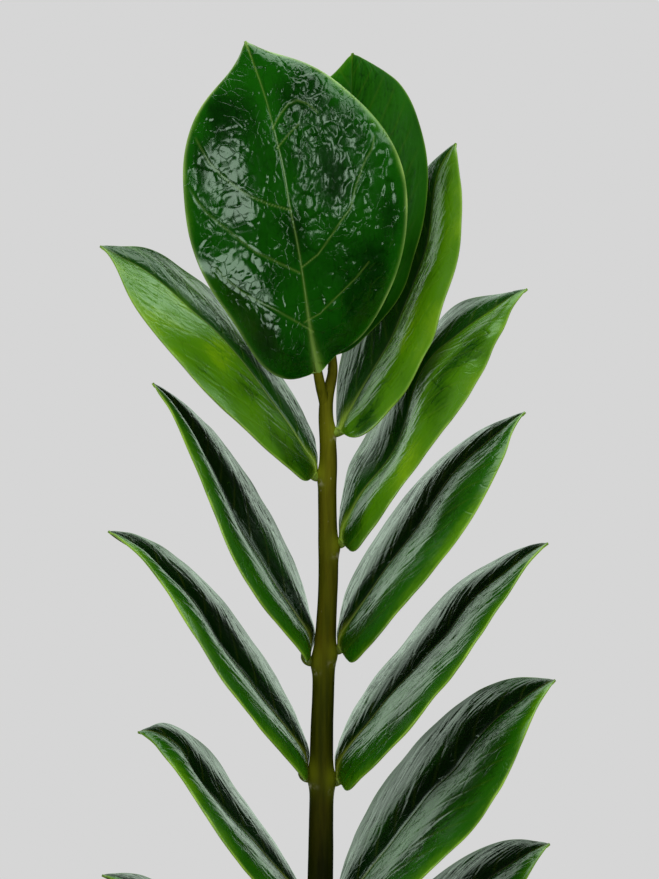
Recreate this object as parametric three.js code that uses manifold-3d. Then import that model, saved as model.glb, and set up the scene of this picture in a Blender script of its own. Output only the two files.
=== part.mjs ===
// Potted ZZ plant (Zamioculcas zamiifolia): one upright frond in a plain terracotta pot.
// Millimetres, +Z up. The origin is the centre of the pot's flat underside; the frond's
// leaflet faces look towards -Y.
//
// The leaflets hang off one stalk (petiole and rachis in one piece) in near-opposite steps:
// a front and a back leaflet at the tip, seven down the right side and six down the left.
// The stalk stands on a potato-like rhizome whose crown shows at the top of the soil, with a
// dry sheath leaf round its foot.
import * as THREE from "three";
import { mergeVertices } from "three/addons/utils/BufferGeometryUtils.js";
import Module from "manifold-3d";

// ---- driving dimensions -------------------------------------------------------------
const GAP = 0.3; // between touching pieces
const POT_HEIGHT = 122;
const POT_FOOT_R = 43; // outer radius of the underside
const POT_BODY_R = 58; // outer radius right under the rim band
const POT_RIM_R = 63; // outer radius of the rim band at its top
const POT_RIM_DROP = 23; // height of the rim band
const POT_WALL = 4.6;
const POT_FLOOR = 7;
const DRAIN_HOLE_D = 8;
const DRAIN_HOLE_PITCH_R = 22; // four holes round the middle of the underside
const SOIL_TOP = 106; // soil level beside the stalk
const SOIL_MOUND = 2.2; // how much higher the soil stands round the stalk than at the wall
const RHIZOME_CENTRE = [1.5, 0.5, 94.5];
const RHIZOME_R = [20, 17.5, 17.5]; // half axes
const RHIZOME_CROWN_Z = 110; // flat crown that the stalk stands on
const STALK_SIDES = 14;
const SHEATH_HEIGHT = 30;
const SHEATH_T = 0.9;
const LEAF_T = 1.3; // blade thickness at the midrib
const LEAF_RIM_T = 0.7; // blade thickness at the margin
const LEAF_ACROSS = 6; // quads across a blade

// Stalk axis and radius, from the crown up: z, x, y, radius. It swells a little at each pair
// of leaflets.
const STALK = [
  [110.4, 0, -0.1, 7.9], [112.5, 0, -0.2, 7.7], [116.5, -0.1, -0.5, 7.1], [122, -0.3, -1, 6.4],
  [130, -0.5, -1.5, 5.9], [141, -0.75, -2, 5.5], [154, -0.95, -2.4, 5.15], [168, -1.15, -2.5, 4.85],
  [182, -1.33, -2.4, 4.55], [195, -1.45, -2.1, 4.3], [206, -1.54, -1.7, 4.12], [212, -1.58, -1.45, 4.0],
  [216.5, -1.61, -1.3, 4.0], [220.5, -1.61, -1.2, 4.1], [225, -1.61, -1.1, 3.75], [235, -1.61, -0.8, 3.55],
  [245, -1.6, -0.5, 3.45], [250.5, -1.54, -0.4, 3.65], [256, -1.5, -0.3, 3.3], [269, -1.38, 0, 3.15],
  [276, -1.28, 0, 3.1], [281, -1.2, 0, 3.25], [286, -1.12, 0, 2.95], [293, -1.01, 0, 2.88],
  [306, -0.83, 0, 2.8], [311, -0.81, 0, 2.95], [316, -0.78, 0, 2.7], [326.3, -0.6, 0, 2.55],
  [333, -0.38, 0, 2.58], [339.5, -0.2, 0, 2.78], [345, 0.18, 0, 2.4], [352, 0.6, 0, 2.24],
  [359.4, 0.8, 0, 2.24], [365, 0.72, 0, 2.4], [370, 0.58, 0, 2.15], [377.8, 0.52, 0, 2.2],
  [382, 0.78, 0, 2.2], [387, 0.8, 0, 1.95], [391.5, 0.4, 0, 1.85], [396.9, 0.23, 0, 1.62],
  [400.5, 0.34, 0.6, 1.45], [403.6, 0.72, 1.7, 1.25], [406.2, 1.15, 2.6, 1.05],
];
// The short petiole of the front tip leaflet, which forks off the stalk's end: z, x, y, radius.
const TIP_FORK = [
  [397.2, 0.15, -0.2, 1.0], [399.6, -0.3, -1.1, 1.0], [401.6, -0.85, -2.1, 0.95], [403.1, -1.3, -2.7, 0.9],
];

// Leaflet control rows from base to tip. Each row holds three points of the blade's middle
// surface: lower (or left) margin, midrib, upper (or right) margin. arch is how far each
// half-blade stands proud of the straight line from midrib to margin.
const LEAFLETS = {
  leaflet_tip_front: { arch: 2.2, rows: [
    [-3.1, -3.2, 403.9, -1.6, -3.2, 404.4, -0.6, -3.2, 407.8],
    [-6.7, -0.5, 403.1, -2.2, -5.1, 407.3, 3.1, -0.5, 409.1],
    [-11.1, -0.9, 403.7, -2.9, -7.2, 410.8, 7, -0.9, 411.7],
    [-15.2, -1.9, 406.8, -3.5, -9.6, 414.9, 10.7, -1.9, 415.8],
    [-18.4, -3.5, 411.7, -4.1, -12, 419.6, 13.8, -3.5, 421],
    [-21.8, -5.2, 417.1, -4.8, -14.1, 424.6, 16.4, -5.2, 427.2],
    [-25.7, -7.1, 422.8, -5.7, -16.1, 430, 18.1, -7.1, 434.1],
    [-28.9, -9.1, 429.1, -6.7, -17.9, 435.6, 18.7, -9.1, 441.4],
    [-30.9, -10.8, 436, -7.9, -19, 441.3, 17.9, -10.8, 448.9],
    [-31.8, -12.2, 443.1, -8.8, -19.7, 447.1, 15.2, -12.2, 456],
    [-31.9, -13.6, 450.2, -10, -20.2, 452.7, 10.8, -13.6, 461.9],
    [-30.7, -14.9, 456.8, -11.3, -20.5, 458, 5.7, -14.9, 466.7],
    [-28.2, -15.8, 462.6, -12.7, -20.3, 463.1, 0.4, -15.8, 470.7],
    [-24.8, -16.1, 467.2, -14.1, -19.6, 467.6, -5, -16.1, 473.4],
    [-21.4, -16.4, 471, -15.5, -18.8, 471.7, -10.1, -16.4, 475],
    [-19.1, -16.6, 474.7, -16.8, -17.9, 475.2, -14.5, -16.6, 476.4],
    [-17.9, -17, 478, -17.8, -17, 478.1, -17.8, -17, 478.1],
  ] },
  leaflet_tip_back: { arch: 1.8, rows: [
    [0.4, 3.2, 407.4, 1.4, 3.2, 408.1, 2.6, 3.2, 408.3],
    [-1.7, 5.6, 409.8, 1.7, 2.6, 410.8, 5.6, 5.1, 409.8],
    [-4.3, 6.1, 412.6, 2, 1.8, 414, 8.8, 5.4, 412.3],
    [-6.7, 6.1, 416.4, 2.5, 1, 417.9, 12.1, 5.2, 415.6],
    [-8.6, 5.7, 421.1, 3.1, 0.1, 422.1, 15.5, 4.8, 419.6],
    [-10.1, 5.2, 426.4, 3.7, -0.8, 426.9, 18.5, 4.2, 424.6],
    [-11.2, 4.2, 432.2, 4.2, -1.7, 431.9, 20.3, 3.2, 430.4],
    [-12, 3.2, 438.3, 4.7, -2.6, 437.2, 22.1, 2.2, 436.6],
    [-12.2, 2.5, 444.6, 5.2, -3, 442.6, 23.3, 1.6, 443.1],
    [-11.9, 2.1, 450.8, 5.5, -2.9, 448, 23.8, 1.2, 449.6],
    [-10.8, 1.6, 456.9, 5.8, -2.8, 453.4, 23.2, 0.9, 456],
    [-8.8, 1.2, 462.4, 6, -2.6, 458.5, 21.6, 0.5, 462],
    [-5.6, 0.8, 466.9, 6.2, -2.2, 463.4, 19.5, 0.3, 467.4],
    [-1.9, 0.7, 470.1, 6.2, -1.6, 467.8, 16.5, 0.3, 471.6],
    [1.6, 0.7, 472.9, 6.2, -0.9, 471.8, 12.7, 0.4, 474.3],
    [4.3, 0.7, 475.6, 6.2, -0.1, 475.2, 9.2, 0.6, 476.4],
    [6.3, 0.5, 478, 6.3, 0.5, 478, 6.4, 0.5, 478],
  ] },
  leaflet_right_1: { arch: 1.6, rows: [
    [3.3, -1.1, 389.4, 3.3, 0, 390.9, 3.3, 1.1, 392.6],
    [6.5, -3.4, 389.3, 4.5, 0.9, 393.3, 2.7, 5.2, 396.3],
    [10, -5.2, 390.5, 6.2, 1.9, 396.3, 2.7, 9, 399.8],
    [13.1, -6.4, 393.4, 8.2, 3, 399.8, 3, 12.4, 403.9],
    [16.2, -7.3, 397.2, 10.5, 4, 403.8, 3.8, 15.4, 408.4],
    [19.4, -7.8, 401.5, 13, 5, 408.1, 4.9, 17.9, 413.4],
    [21.9, -7.8, 406.7, 15.7, 5.9, 412.8, 6.5, 19.6, 418.7],
    [24.5, -7.4, 412.1, 17.8, 6.6, 418, 8.4, 20.6, 424],
    [26.4, -6.7, 417.9, 20, 7, 423.3, 10.6, 20.7, 429.4],
    [28.5, -5.7, 423.8, 22.1, 7.2, 428.7, 12.9, 20, 434.7],
    [30.2, -4.4, 429.7, 23.8, 7.1, 434.1, 15.3, 18.7, 439.6],
    [31.1, -3, 435.5, 24.6, 6.9, 439.3, 17.9, 16.8, 444.2],
    [31.4, -1.6, 441, 25.1, 6.4, 444.3, 20.5, 14.5, 448.2],
    [31.4, -0.2, 446.1, 25.8, 5.9, 448.7, 23.2, 11.9, 451.6],
    [31, 1.1, 450.5, 27.1, 5.2, 452.5, 25.8, 9.3, 454.3],
    [30.6, 2.4, 454.4, 28.8, 4.6, 455.4, 28.3, 6.8, 456.2],
    [30.4, 4, 457.6, 30.3, 4, 457.7, 30.3, 4, 457.7],
  ] },
  leaflet_right_2: { arch: 1.8, rows: [
    [4, -1.1, 363.9, 4, 0, 365.5, 4, 1.1, 367.1],
    [6.5, -4.7, 363.4, 4.2, 0.1, 368.1, 3.5, 5.4, 371.4],
    [9, -7.6, 366, 5.7, 0.2, 371.4, 3.9, 8.8, 375],
    [11.4, -10.1, 369.4, 7.6, 0.3, 375, 4.8, 11.8, 379.1],
    [13.9, -12.2, 373.3, 10.2, 0.4, 378.9, 6.1, 14.2, 383.7],
    [16.8, -13.8, 377.5, 13.6, 0.4, 382.8, 8.7, 15.9, 388.4],
    [20, -14.8, 381.9, 16.5, 0.3, 387.5, 11.4, 17, 393.4],
    [23.4, -15.3, 386.4, 18.6, 0.2, 392.8, 14.3, 17.2, 398.6],
    [26.8, -15.2, 391, 20, 0, 398.6, 17.4, 16.6, 403.9],
    [30.3, -14.5, 395.7, 22.1, -0.3, 404, 20.7, 15.3, 409],
    [33.4, -13.4, 400.5, 25.4, -0.6, 408.7, 24.4, 13.4, 413.5],
    [36.1, -11.9, 405.2, 29.5, -1, 412.2, 27.9, 11, 417.8],
    [38.4, -10.3, 409.9, 33.6, -1.4, 415.4, 31.9, 8.3, 420.9],
    [40.6, -8.6, 414.1, 37.4, -1.9, 418, 36.3, 5.5, 422],
    [42.4, -6.8, 418, 40.8, -2.3, 420.3, 40.4, 2.7, 422.4],
    [44.3, -5.1, 421.1, 43.8, -2.7, 422.1, 43.7, 0, 422.9],
    [46.3, -3, 423.4, 46.3, -3, 423.5, 46.3, -3, 423.5],
  ] },
  leaflet_right_3: { arch: 1.8, rows: [
    [3.5, -1.1, 339.4, 3.5, 0, 341, 3.5, 1.1, 342.6],
    [6, -5.8, 338.2, 3.8, -0.5, 343.5, 3.2, 5, 344.6],
    [8.6, -9.7, 340.6, 5.4, -1.1, 346.4, 3.7, 8, 347.8],
    [11.3, -13.3, 343.8, 7.5, -1.8, 349.6, 4.6, 10.3, 351.6],
    [14.2, -16.3, 347.4, 10, -2.5, 353.3, 6.2, 12.1, 355.8],
    [17.3, -18.8, 351.4, 12.6, -3.2, 357.3, 8.6, 13.3, 360.1],
    [20.6, -20.5, 355.5, 15.6, -3.9, 361.5, 11.3, 13.7, 364.8],
    [24, -21.5, 359.7, 18.9, -4.5, 365.7, 14.4, 13.5, 369.5],
    [27.4, -21.6, 364.1, 22.1, -5, 370.1, 17.8, 12.6, 374.2],
    [30.7, -21, 368.6, 24.9, -5.4, 374.8, 21.4, 11.1, 378.6],
    [33.7, -19.7, 373.1, 27.8, -5.7, 379.3, 25.2, 9.1, 382.7],
    [36.4, -18, 377.7, 31.1, -6, 383.2, 29.1, 6.8, 386.3],
    [38.7, -15.8, 382, 34.6, -6.1, 386.3, 33, 4.2, 389.3],
    [40.7, -13.5, 386.1, 38, -6.1, 389.1, 36.7, 1.7, 391.6],
    [42.1, -11.1, 389.8, 41, -6.1, 391.5, 40.2, -0.8, 393.2],
    [43.8, -8.7, 392.9, 43.5, -6.1, 393.6, 43.2, -3.3, 394.4],
    [45.6, -6, 395.3, 45.6, -6, 395.3, 45.6, -6, 395.3],
  ] },
  leaflet_right_4: { arch: 1.8, rows: [
    [3.1, -1.1, 309.1, 3.1, 0, 310.7, 3.1, 1.1, 312.3],
    [4.9, -5.7, 309, 3.3, -0.5, 313.4, 2.9, 5.1, 316.3],
    [7.6, -9.6, 311.8, 4.5, -1, 316.6, 3.8, 8.1, 319.4],
    [10.6, -13.1, 315.1, 6.8, -1.6, 320, 5.3, 10.5, 323],
    [13.7, -16.1, 318.8, 9.8, -2.3, 323.6, 7.5, 12.3, 327],
    [17.2, -18.5, 322.8, 12.9, -3, 327.7, 10.5, 13.5, 331.2],
    [20.8, -20.3, 327.1, 16.4, -3.7, 331.9, 13.9, 14, 335.5],
    [24.2, -21.4, 331.7, 20.3, -4.3, 336.1, 17.7, 13.7, 339.9],
    [27.9, -21.6, 336.2, 24, -5, 340.5, 21.3, 12.6, 344.7],
    [31.4, -21.2, 340.7, 28, -5.6, 344.8, 25.1, 10.9, 349.3],
    [34.6, -20.1, 345.4, 31.3, -6.1, 349.4, 29, 8.7, 353.6],
    [37.6, -18.6, 349.9, 34.7, -6.6, 353.6, 33.2, 6.1, 357.1],
    [40.5, -16.8, 354.1, 38.6, -7, 356.8, 37.4, 3.3, 359.9],
    [43.1, -14.7, 357.9, 42.1, -7.4, 359.7, 41.4, 0.5, 362.1],
    [45.7, -12.6, 361.1, 45.3, -7.6, 362.2, 44.9, -2.3, 363.9],
    [48.4, -10.5, 363.6, 48.2, -7.8, 364.1, 48.1, -5, 364.9],
    [50.7, -8, 365.5, 50.6, -8, 365.5, 50.6, -8, 365.6],
  ] },
  leaflet_right_5: { arch: 1.8, rows: [
    [2.9, -1.1, 278, 2.9, 0, 279.6, 2.9, 1.1, 281.2],
    [5.4, -5.8, 277.3, 3.4, -0.7, 282.1, 3.2, 4.6, 285.3],
    [8.8, -9.8, 279.3, 5.7, -1.4, 284.9, 4, 7.2, 288.5],
    [12.4, -13.3, 282.1, 8.6, -2.2, 288, 5.3, 9.2, 292.3],
    [16.3, -16.5, 285.6, 11.4, -3.1, 291.8, 7.2, 10.7, 296.6],
    [20.1, -19.1, 289.6, 14.7, -4, 295.9, 9.6, 11.5, 301.4],
    [24.2, -21.1, 293.8, 17.9, -4.9, 300.4, 12.5, 11.7, 306.4],
    [28.4, -22.2, 297.9, 21.4, -5.8, 305.1, 16.2, 11.2, 311.3],
    [32.5, -22.6, 302.4, 25.1, -6.5, 309.7, 20, 10.1, 316.4],
    [36.1, -22.3, 307.1, 29.3, -7.2, 313.7, 24.1, 8.4, 321.2],
    [39.3, -21.3, 312, 32.7, -7.7, 318.3, 28.5, 6.3, 325.5],
    [41.9, -19.8, 316.8, 36.1, -8.1, 322.6, 33, 3.9, 329.2],
    [44.1, -17.9, 321.4, 39.7, -8.5, 326.1, 37.5, 1.3, 332.1],
    [46.2, -15.9, 325.6, 43.4, -8.7, 328.9, 42, -1.3, 333.9],
    [48.2, -13.7, 329.3, 46.7, -8.9, 331.4, 46, -3.9, 334.6],
    [50.3, -11.5, 332.2, 49.7, -8.9, 333.2, 49.5, -6.3, 334.6],
    [52.3, -9, 334.5, 52.2, -9, 334.5, 52.2, -9, 334.5],
  ] },
  leaflet_right_6: { arch: 1.8, rows: [
    [2.9, -1.5, 248.9, 2.9, -0.4, 250.5, 2.9, 0.7, 252.1],
    [4.7, -5.6, 248.4, 3.2, -0.3, 252.5, 3.4, 5, 255.1],
    [7.9, -8.8, 250.1, 5.5, -0.2, 254.7, 4.3, 8.4, 257.6],
    [11.4, -11.6, 252.4, 8.4, -0.1, 257.2, 5.8, 11.3, 260.6],
    [15.1, -13.9, 255.3, 11.2, -0.1, 260.4, 7.9, 13.7, 264.1],
    [18.8, -15.6, 258.7, 14.5, 0, 263.7, 10.4, 15.5, 268.1],
    [22.8, -16.7, 262.1, 17.8, -0.1, 267.5, 13.4, 16.6, 272.3],
    [27, -17.1, 265.6, 21.2, -0.1, 271.4, 17.1, 16.9, 276.4],
    [31.1, -16.8, 269.3, 24.9, -0.2, 275.3, 21, 16.4, 280.7],
    [34.7, -15.9, 273.3, 29.1, -0.3, 278.7, 25.1, 15.2, 284.9],
    [38, -14.6, 277.3, 32.5, -0.5, 282.7, 29.4, 13.5, 288.6],
    [40.7, -12.8, 281.5, 36, -0.8, 286.4, 33.7, 11.2, 291.9],
    [43.2, -10.8, 285.4, 39.5, -1, 289.4, 38, 8.7, 294.4],
    [45.4, -8.7, 289, 43.1, -1.3, 291.7, 42.2, 6.1, 295.9],
    [47.5, -6.5, 292.1, 46.3, -1.6, 293.8, 46, 3.4, 296.4],
    [49.6, -4.4, 294.5, 49.1, -1.8, 295.3, 49.1, 0.8, 296.3],
    [51.6, -2, 296.3, 51.6, -2, 296.3, 51.6, -2, 296.3],
  ] },
  leaflet_right_7: { arch: 1.8, rows: [
    [3.3, -2.3, 219.3, 3.3, -1.2, 220.9, 3.3, -0.1, 222.5],
    [4.2, -7.3, 220.2, 3.4, -2.1, 223.3, 3.3, 3.2, 225],
    [6.7, -11.7, 223.2, 4.5, -3.1, 226.1, 4.3, 5.5, 227.2],
    [9.6, -15.6, 226.5, 6.9, -4.2, 229.1, 5.9, 7.3, 230],
    [12.6, -19.1, 230.1, 9.7, -5.3, 232.2, 8.2, 8.4, 233.1],
    [15.9, -22.1, 233.7, 12.7, -6.5, 235.7, 11.1, 9, 236.4],
    [19.3, -24.3, 237.6, 16.1, -7.6, 239.3, 14.4, 9, 239.9],
    [22.6, -25.7, 241.5, 19.8, -8.7, 242.8, 18.1, 8.3, 243.5],
    [26.1, -26.2, 245.2, 23.4, -9.6, 246.4, 21.6, 7, 247.5],
    [29.6, -26, 248.8, 27.1, -10.4, 249.9, 25.2, 5.2, 251.5],
    [32.7, -25, 252.3, 30.4, -11, 253.7, 28.9, 3, 255.2],
    [35.7, -23.4, 255.7, 33.7, -11.4, 257.1, 32.8, 0.6, 258.2],
    [38.6, -21.5, 258.7, 37.3, -11.8, 259.5, 36.6, -2, 260.8],
    [41.2, -19.3, 261.4, 40.6, -11.9, 261.7, 40.2, -4.6, 262.7],
    [43.8, -17, 263.5, 43.6, -12, 263.6, 43.4, -7, 264.3],
    [46.3, -14.7, 265, 46.2, -12, 265, 46.2, -9.4, 265.4],
    [48.5, -12, 266.1, 48.5, -12, 266.1, 48.5, -12, 266.1],
  ] },
  leaflet_left_1: { arch: 1.4, rows: [
    [-2.5, -1.1, 379.2, -2.5, 0, 380.9, -2.5, 1.1, 382.4],
    [-4.8, -4.9, 379.5, -2.6, -0.3, 383.3, -2.1, 4.7, 385.4],
    [-7.5, -8.2, 381.7, -4.5, -0.6, 386.3, -2.7, 7.5, 389],
    [-10.7, -11.1, 384.3, -6.7, -1, 389.7, -4.3, 9.8, 392.9],
    [-14, -13.6, 387.4, -9.2, -1.4, 393.5, -6.5, 11.6, 397.4],
    [-17.5, -15.5, 391, -12.2, -1.7, 397.6, -9.3, 12.9, 402],
    [-21.4, -16.7, 394.6, -15.4, -2, 402, -12.5, 13.6, 406.8],
    [-25.4, -17.3, 398.5, -18.8, -2.3, 406.5, -16, 13.7, 411.7],
    [-29.5, -17.2, 402.5, -22.5, -2.5, 410.9, -19.7, 13.2, 416.6],
    [-33.3, -16.4, 406.8, -26.5, -2.6, 415.1, -23.8, 12.1, 421.1],
    [-37, -15, 411.2, -30.8, -2.7, 418.7, -28.2, 10.5, 425],
    [-40.5, -13.2, 415.5, -34.8, -2.6, 422.4, -32.8, 8.7, 428.2],
    [-43.5, -11.2, 419.7, -38.6, -2.6, 425.7, -37, 6.6, 431.3],
    [-45.7, -8.9, 423.9, -42.4, -2.4, 428.3, -41.2, 4.5, 433.1],
    [-47.5, -6.7, 427.9, -46, -2.3, 430.2, -45.3, 2.4, 433.6],
    [-49.4, -4.5, 431.1, -49.1, -2.1, 431.9, -48.8, 0.3, 433.5],
    [-51.6, -2, 433.4, -51.6, -2, 433.4, -51.5, -2, 433.4],
  ] },
  leaflet_left_2: { arch: 1.2, rows: [
    [-4, -1.1, 336.8, -4, 0, 338.4, -4, 1.1, 340],
    [-4.3, -5.5, 338.7, -4, 0.1, 341.1, -3.2, 5.7, 343.6],
    [-6.3, -8.9, 341.9, -4.1, 0.2, 344.2, -3.6, 9.3, 346.9],
    [-8.9, -11.8, 345.3, -6.3, 0.3, 347.7, -4.3, 12.4, 350.7],
    [-11.9, -14.2, 349, -8.8, 0.4, 351.6, -5.7, 15, 355],
    [-15, -16.1, 353.1, -11.8, 0.4, 355.7, -7.6, 16.8, 359.8],
    [-17.8, -17.3, 357.8, -14.6, 0.3, 360.4, -9.9, 17.9, 364.8],
    [-20.5, -17.8, 362.8, -17.7, 0.2, 365.2, -12.3, 18.2, 370],
    [-23, -17.6, 368.1, -20.8, 0, 370.1, -15.3, 17.6, 375.1],
    [-25.2, -16.8, 373.4, -23.3, -0.3, 375.4, -18.3, 16.2, 380.2],
    [-27.5, -15.4, 378.6, -25.7, -0.6, 380.5, -21.6, 14.2, 384.9],
    [-29.7, -13.7, 383.6, -28.1, -1, 385.4, -24.9, 11.7, 389.2],
    [-31.8, -11.7, 388.3, -30.5, -1.4, 389.9, -28.3, 8.9, 392.9],
    [-33.7, -9.7, 392.6, -33, -1.9, 393.8, -31.5, 6, 396],
    [-35.6, -7.5, 396.4, -35.4, -2.3, 397.1, -34.6, 3, 398.5],
    [-37.9, -5.5, 399.3, -37.5, -2.7, 399.8, -37.3, 0.1, 400.4],
    [-39.4, -3, 401.9, -39.4, -3, 401.9, -39.4, -3, 401.9],
  ] },
  leaflet_left_3: { arch: 1.2, rows: [
    [-4.7, -1.1, 310, -4.7, 0, 311.6, -4.7, 1.1, 313.2],
    [-4.7, -6, 311.4, -4.8, -0.5, 314.4, -4.4, 5.1, 317],
    [-6.9, -10.1, 314.7, -5.4, -1, 317.5, -5.5, 8.1, 320.1],
    [-9.6, -13.7, 318.2, -7.7, -1.6, 321, -6.8, 10.5, 323.7],
    [-12.6, -16.8, 322.1, -10.5, -2.2, 324.8, -8.7, 12.4, 327.9],
    [-15.8, -19.3, 326.2, -13.7, -2.8, 328.7, -11.2, 13.7, 332.3],
    [-19.1, -21.1, 330.6, -16.9, -3.4, 333.1, -14.1, 14.2, 337],
    [-22.5, -22, 335.2, -20.5, -4, 337.6, -17.4, 14, 341.8],
    [-25.6, -22.1, 340, -24.1, -4.5, 342.1, -20.8, 13.1, 346.7],
    [-28.6, -21.4, 344.9, -27.1, -4.9, 347.1, -24.3, 11.6, 351.5],
    [-31.7, -20.1, 349.5, -30, -5.3, 351.9, -28.2, 9.5, 355.9],
    [-34.7, -18.3, 354, -33.8, -5.6, 355.8, -32.2, 7.2, 359.6],
    [-37.8, -16.1, 358, -37.6, -5.8, 359, -36.1, 4.6, 362.9],
    [-40.8, -13.7, 361.5, -40.8, -5.9, 362.3, -39.9, 1.9, 365.5],
    [-43.9, -11.2, 364.4, -44.1, -6, 364.6, -43.5, -0.7, 367.1],
    [-46.8, -8.8, 366.5, -47.1, -6, 366.4, -46.7, -3.2, 367.8],
    [-49.3, -6, 368.2, -49.3, -6, 368.2, -49.3, -6, 368.2],
  ] },
  leaflet_left_4: { arch: 1.3, rows: [
    [-5.3, -1.1, 279.6, -5.3, 0, 281.2, -5.3, 1.1, 282.9],
    [-6.3, -5.5, 280.3, -5.5, -0.2, 283.1, -5.6, 5.4, 285],
    [-8.6, -9.1, 282.4, -6.9, -0.5, 285.3, -7.2, 8.7, 286.8],
    [-11.1, -12.2, 284.9, -8.9, -0.8, 287.9, -9, 11.3, 289.2],
    [-13.7, -15, 287.8, -11.3, -1.2, 290.7, -10.8, 13.4, 292.1],
    [-16.4, -17.2, 291, -13.9, -1.7, 293.7, -13, 14.8, 295.4],
    [-19.1, -18.8, 294.4, -16.6, -2.2, 297.1, -15.5, 15.4, 299],
    [-21.7, -19.8, 298, -19.6, -2.8, 300.3, -18.1, 15.2, 302.8],
    [-24.2, -20.1, 301.7, -22.6, -3.5, 303.8, -20.9, 14.1, 306.7],
    [-26.7, -19.8, 305.4, -25.6, -4.2, 307.3, -23.4, 12.3, 310.9],
    [-29.2, -19, 308.9, -28.5, -5, 310.7, -26.1, 9.8, 314.9],
    [-31.5, -17.8, 312.2, -30.7, -5.8, 314.3, -29.1, 7, 318.2],
    [-33.7, -16.3, 315.3, -32.4, -6.5, 318, -32.2, 3.8, 321],
    [-36, -14.6, 317.9, -34.9, -7.2, 320.5, -35.2, 0.6, 323.1],
    [-38.1, -12.9, 320.1, -37.7, -7.9, 322.1, -38.2, -2.6, 323.7],
    [-40.4, -11.1, 321.7, -40.2, -8.5, 322.8, -40.5, -5.7, 322.9],
    [-42.4, -9, 322.6, -42.4, -9, 322.7, -42.4, -9, 322.7],
  ] },
  leaflet_left_5: { arch: 1.3, rows: [
    [-6, -1.5, 250.5, -6, -0.4, 252.1, -6, 0.7, 253.7],
    [-5.9, -6.3, 252.4, -6.2, -1, 254.2, -6.9, 4.5, 255.6],
    [-8.1, -10.4, 255.1, -7.6, -1.8, 256.6, -8.3, 7.3, 257.4],
    [-10.7, -14, 257.9, -10, -2.6, 259.1, -10.1, 9.5, 259.9],
    [-13.7, -17.2, 260.9, -12.8, -3.5, 261.7, -12.3, 11.2, 262.6],
    [-16.8, -19.9, 264, -16, -4.3, 264.5, -15, 12.2, 265.6],
    [-20.1, -21.8, 267.2, -19.2, -5.2, 267.5, -18.1, 12.4, 268.8],
    [-23.5, -23, 270.4, -22.8, -6, 270.6, -21.5, 12, 272.2],
    [-26.8, -23.3, 273.8, -26.3, -6.7, 273.6, -25, 10.9, 275.6],
    [-29.9, -22.9, 277.1, -29.5, -7.3, 277.2, -28.5, 9.2, 279.1],
    [-33.2, -21.9, 280.1, -32.6, -7.8, 280.5, -32.2, 7, 282.1],
    [-36.4, -20.2, 282.9, -36.2, -8.2, 283, -35.9, 4.5, 284.8],
    [-39.5, -18.3, 285.4, -39.8, -8.6, 285, -39.5, 1.8, 287],
    [-42.5, -16.1, 287.4, -42.8, -8.8, 287.1, -42.8, -0.9, 288.8],
    [-45.5, -13.9, 288.8, -45.8, -8.9, 288.4, -45.8, -3.6, 289.7],
    [-48.2, -11.6, 289.8, -48.4, -9, 289.4, -48.4, -6.2, 290.1],
    [-50.5, -9, 290.4, -50.5, -9, 290.4, -50.5, -9, 290.4],
  ] },
  leaflet_left_6: { arch: 1.3, rows: [
    [-6.5, -2.2, 220.2, -6.5, -1.1, 221.8, -6.5, -0.1, 223.4],
    [-6.3, -6.5, 222.2, -6.7, -1.3, 223.6, -7.2, 4, 224.6],
    [-8.4, -10, 224.9, -7.9, -1.4, 225.8, -8.5, 7.2, 226.1],
    [-10.8, -12.9, 227.6, -10.1, -1.4, 228, -10.2, 10, 228.1],
    [-13.6, -15.4, 230.4, -12.8, -1.6, 230.3, -12.3, 12.2, 230.5],
    [-16.6, -17.2, 233.4, -15.8, -1.7, 232.8, -14.9, 13.9, 233.1],
    [-19.7, -18.5, 236.3, -18.9, -1.8, 235.6, -17.8, 14.8, 236],
    [-23, -19, 239.3, -22.3, -2, 238.4, -21, 15, 239],
    [-26.1, -18.7, 242.4, -25.7, -2.1, 241.2, -24.3, 14.5, 242.2],
    [-29.1, -17.8, 245.4, -28.7, -2.2, 244.5, -27.7, 13.3, 245.5],
    [-32.3, -16.4, 248.2, -31.7, -2.4, 247.7, -31.2, 11.6, 248.5],
    [-35.3, -14.5, 250.7, -35.1, -2.5, 250, -34.8, 9.5, 251.1],
    [-38.2, -12.4, 252.9, -38.5, -2.6, 251.9, -38.2, 7.1, 253.3],
    [-41.1, -10.1, 254.7, -41.4, -2.8, 253.9, -41.4, 4.6, 255.1],
    [-43.9, -7.8, 255.9, -44.3, -2.9, 255.2, -44.3, 2.1, 256.2],
    [-46.5, -5.6, 256.6, -46.8, -2.9, 256.1, -46.8, -0.3, 256.7],
    [-48.7, -3, 257.1, -48.7, -3, 257.1, -48.7, -3, 257.1],
  ] },
};

const MATERIALS = {
  leaf: { color: 0x1f4a12, roughness: 0.28, metalness: 0 },
  young_leaf: { color: 0x3c6a1c, roughness: 0.3, metalness: 0 },
  stalk: { color: 0x3f4a16, roughness: 0.45, metalness: 0 },
  rhizome: { color: 0x9c8157, roughness: 0.7, metalness: 0 },
  sheath: { color: 0x8a6b41, roughness: 0.75, metalness: 0 },
  soil: { color: 0x2b2019, roughness: 0.95, metalness: 0 },
  terracotta: { color: 0xb0623c, roughness: 0.8, metalness: 0 },
};

// ---- helpers ------------------------------------------------------------------------
const wasm = await Module();
wasm.setup();

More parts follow.
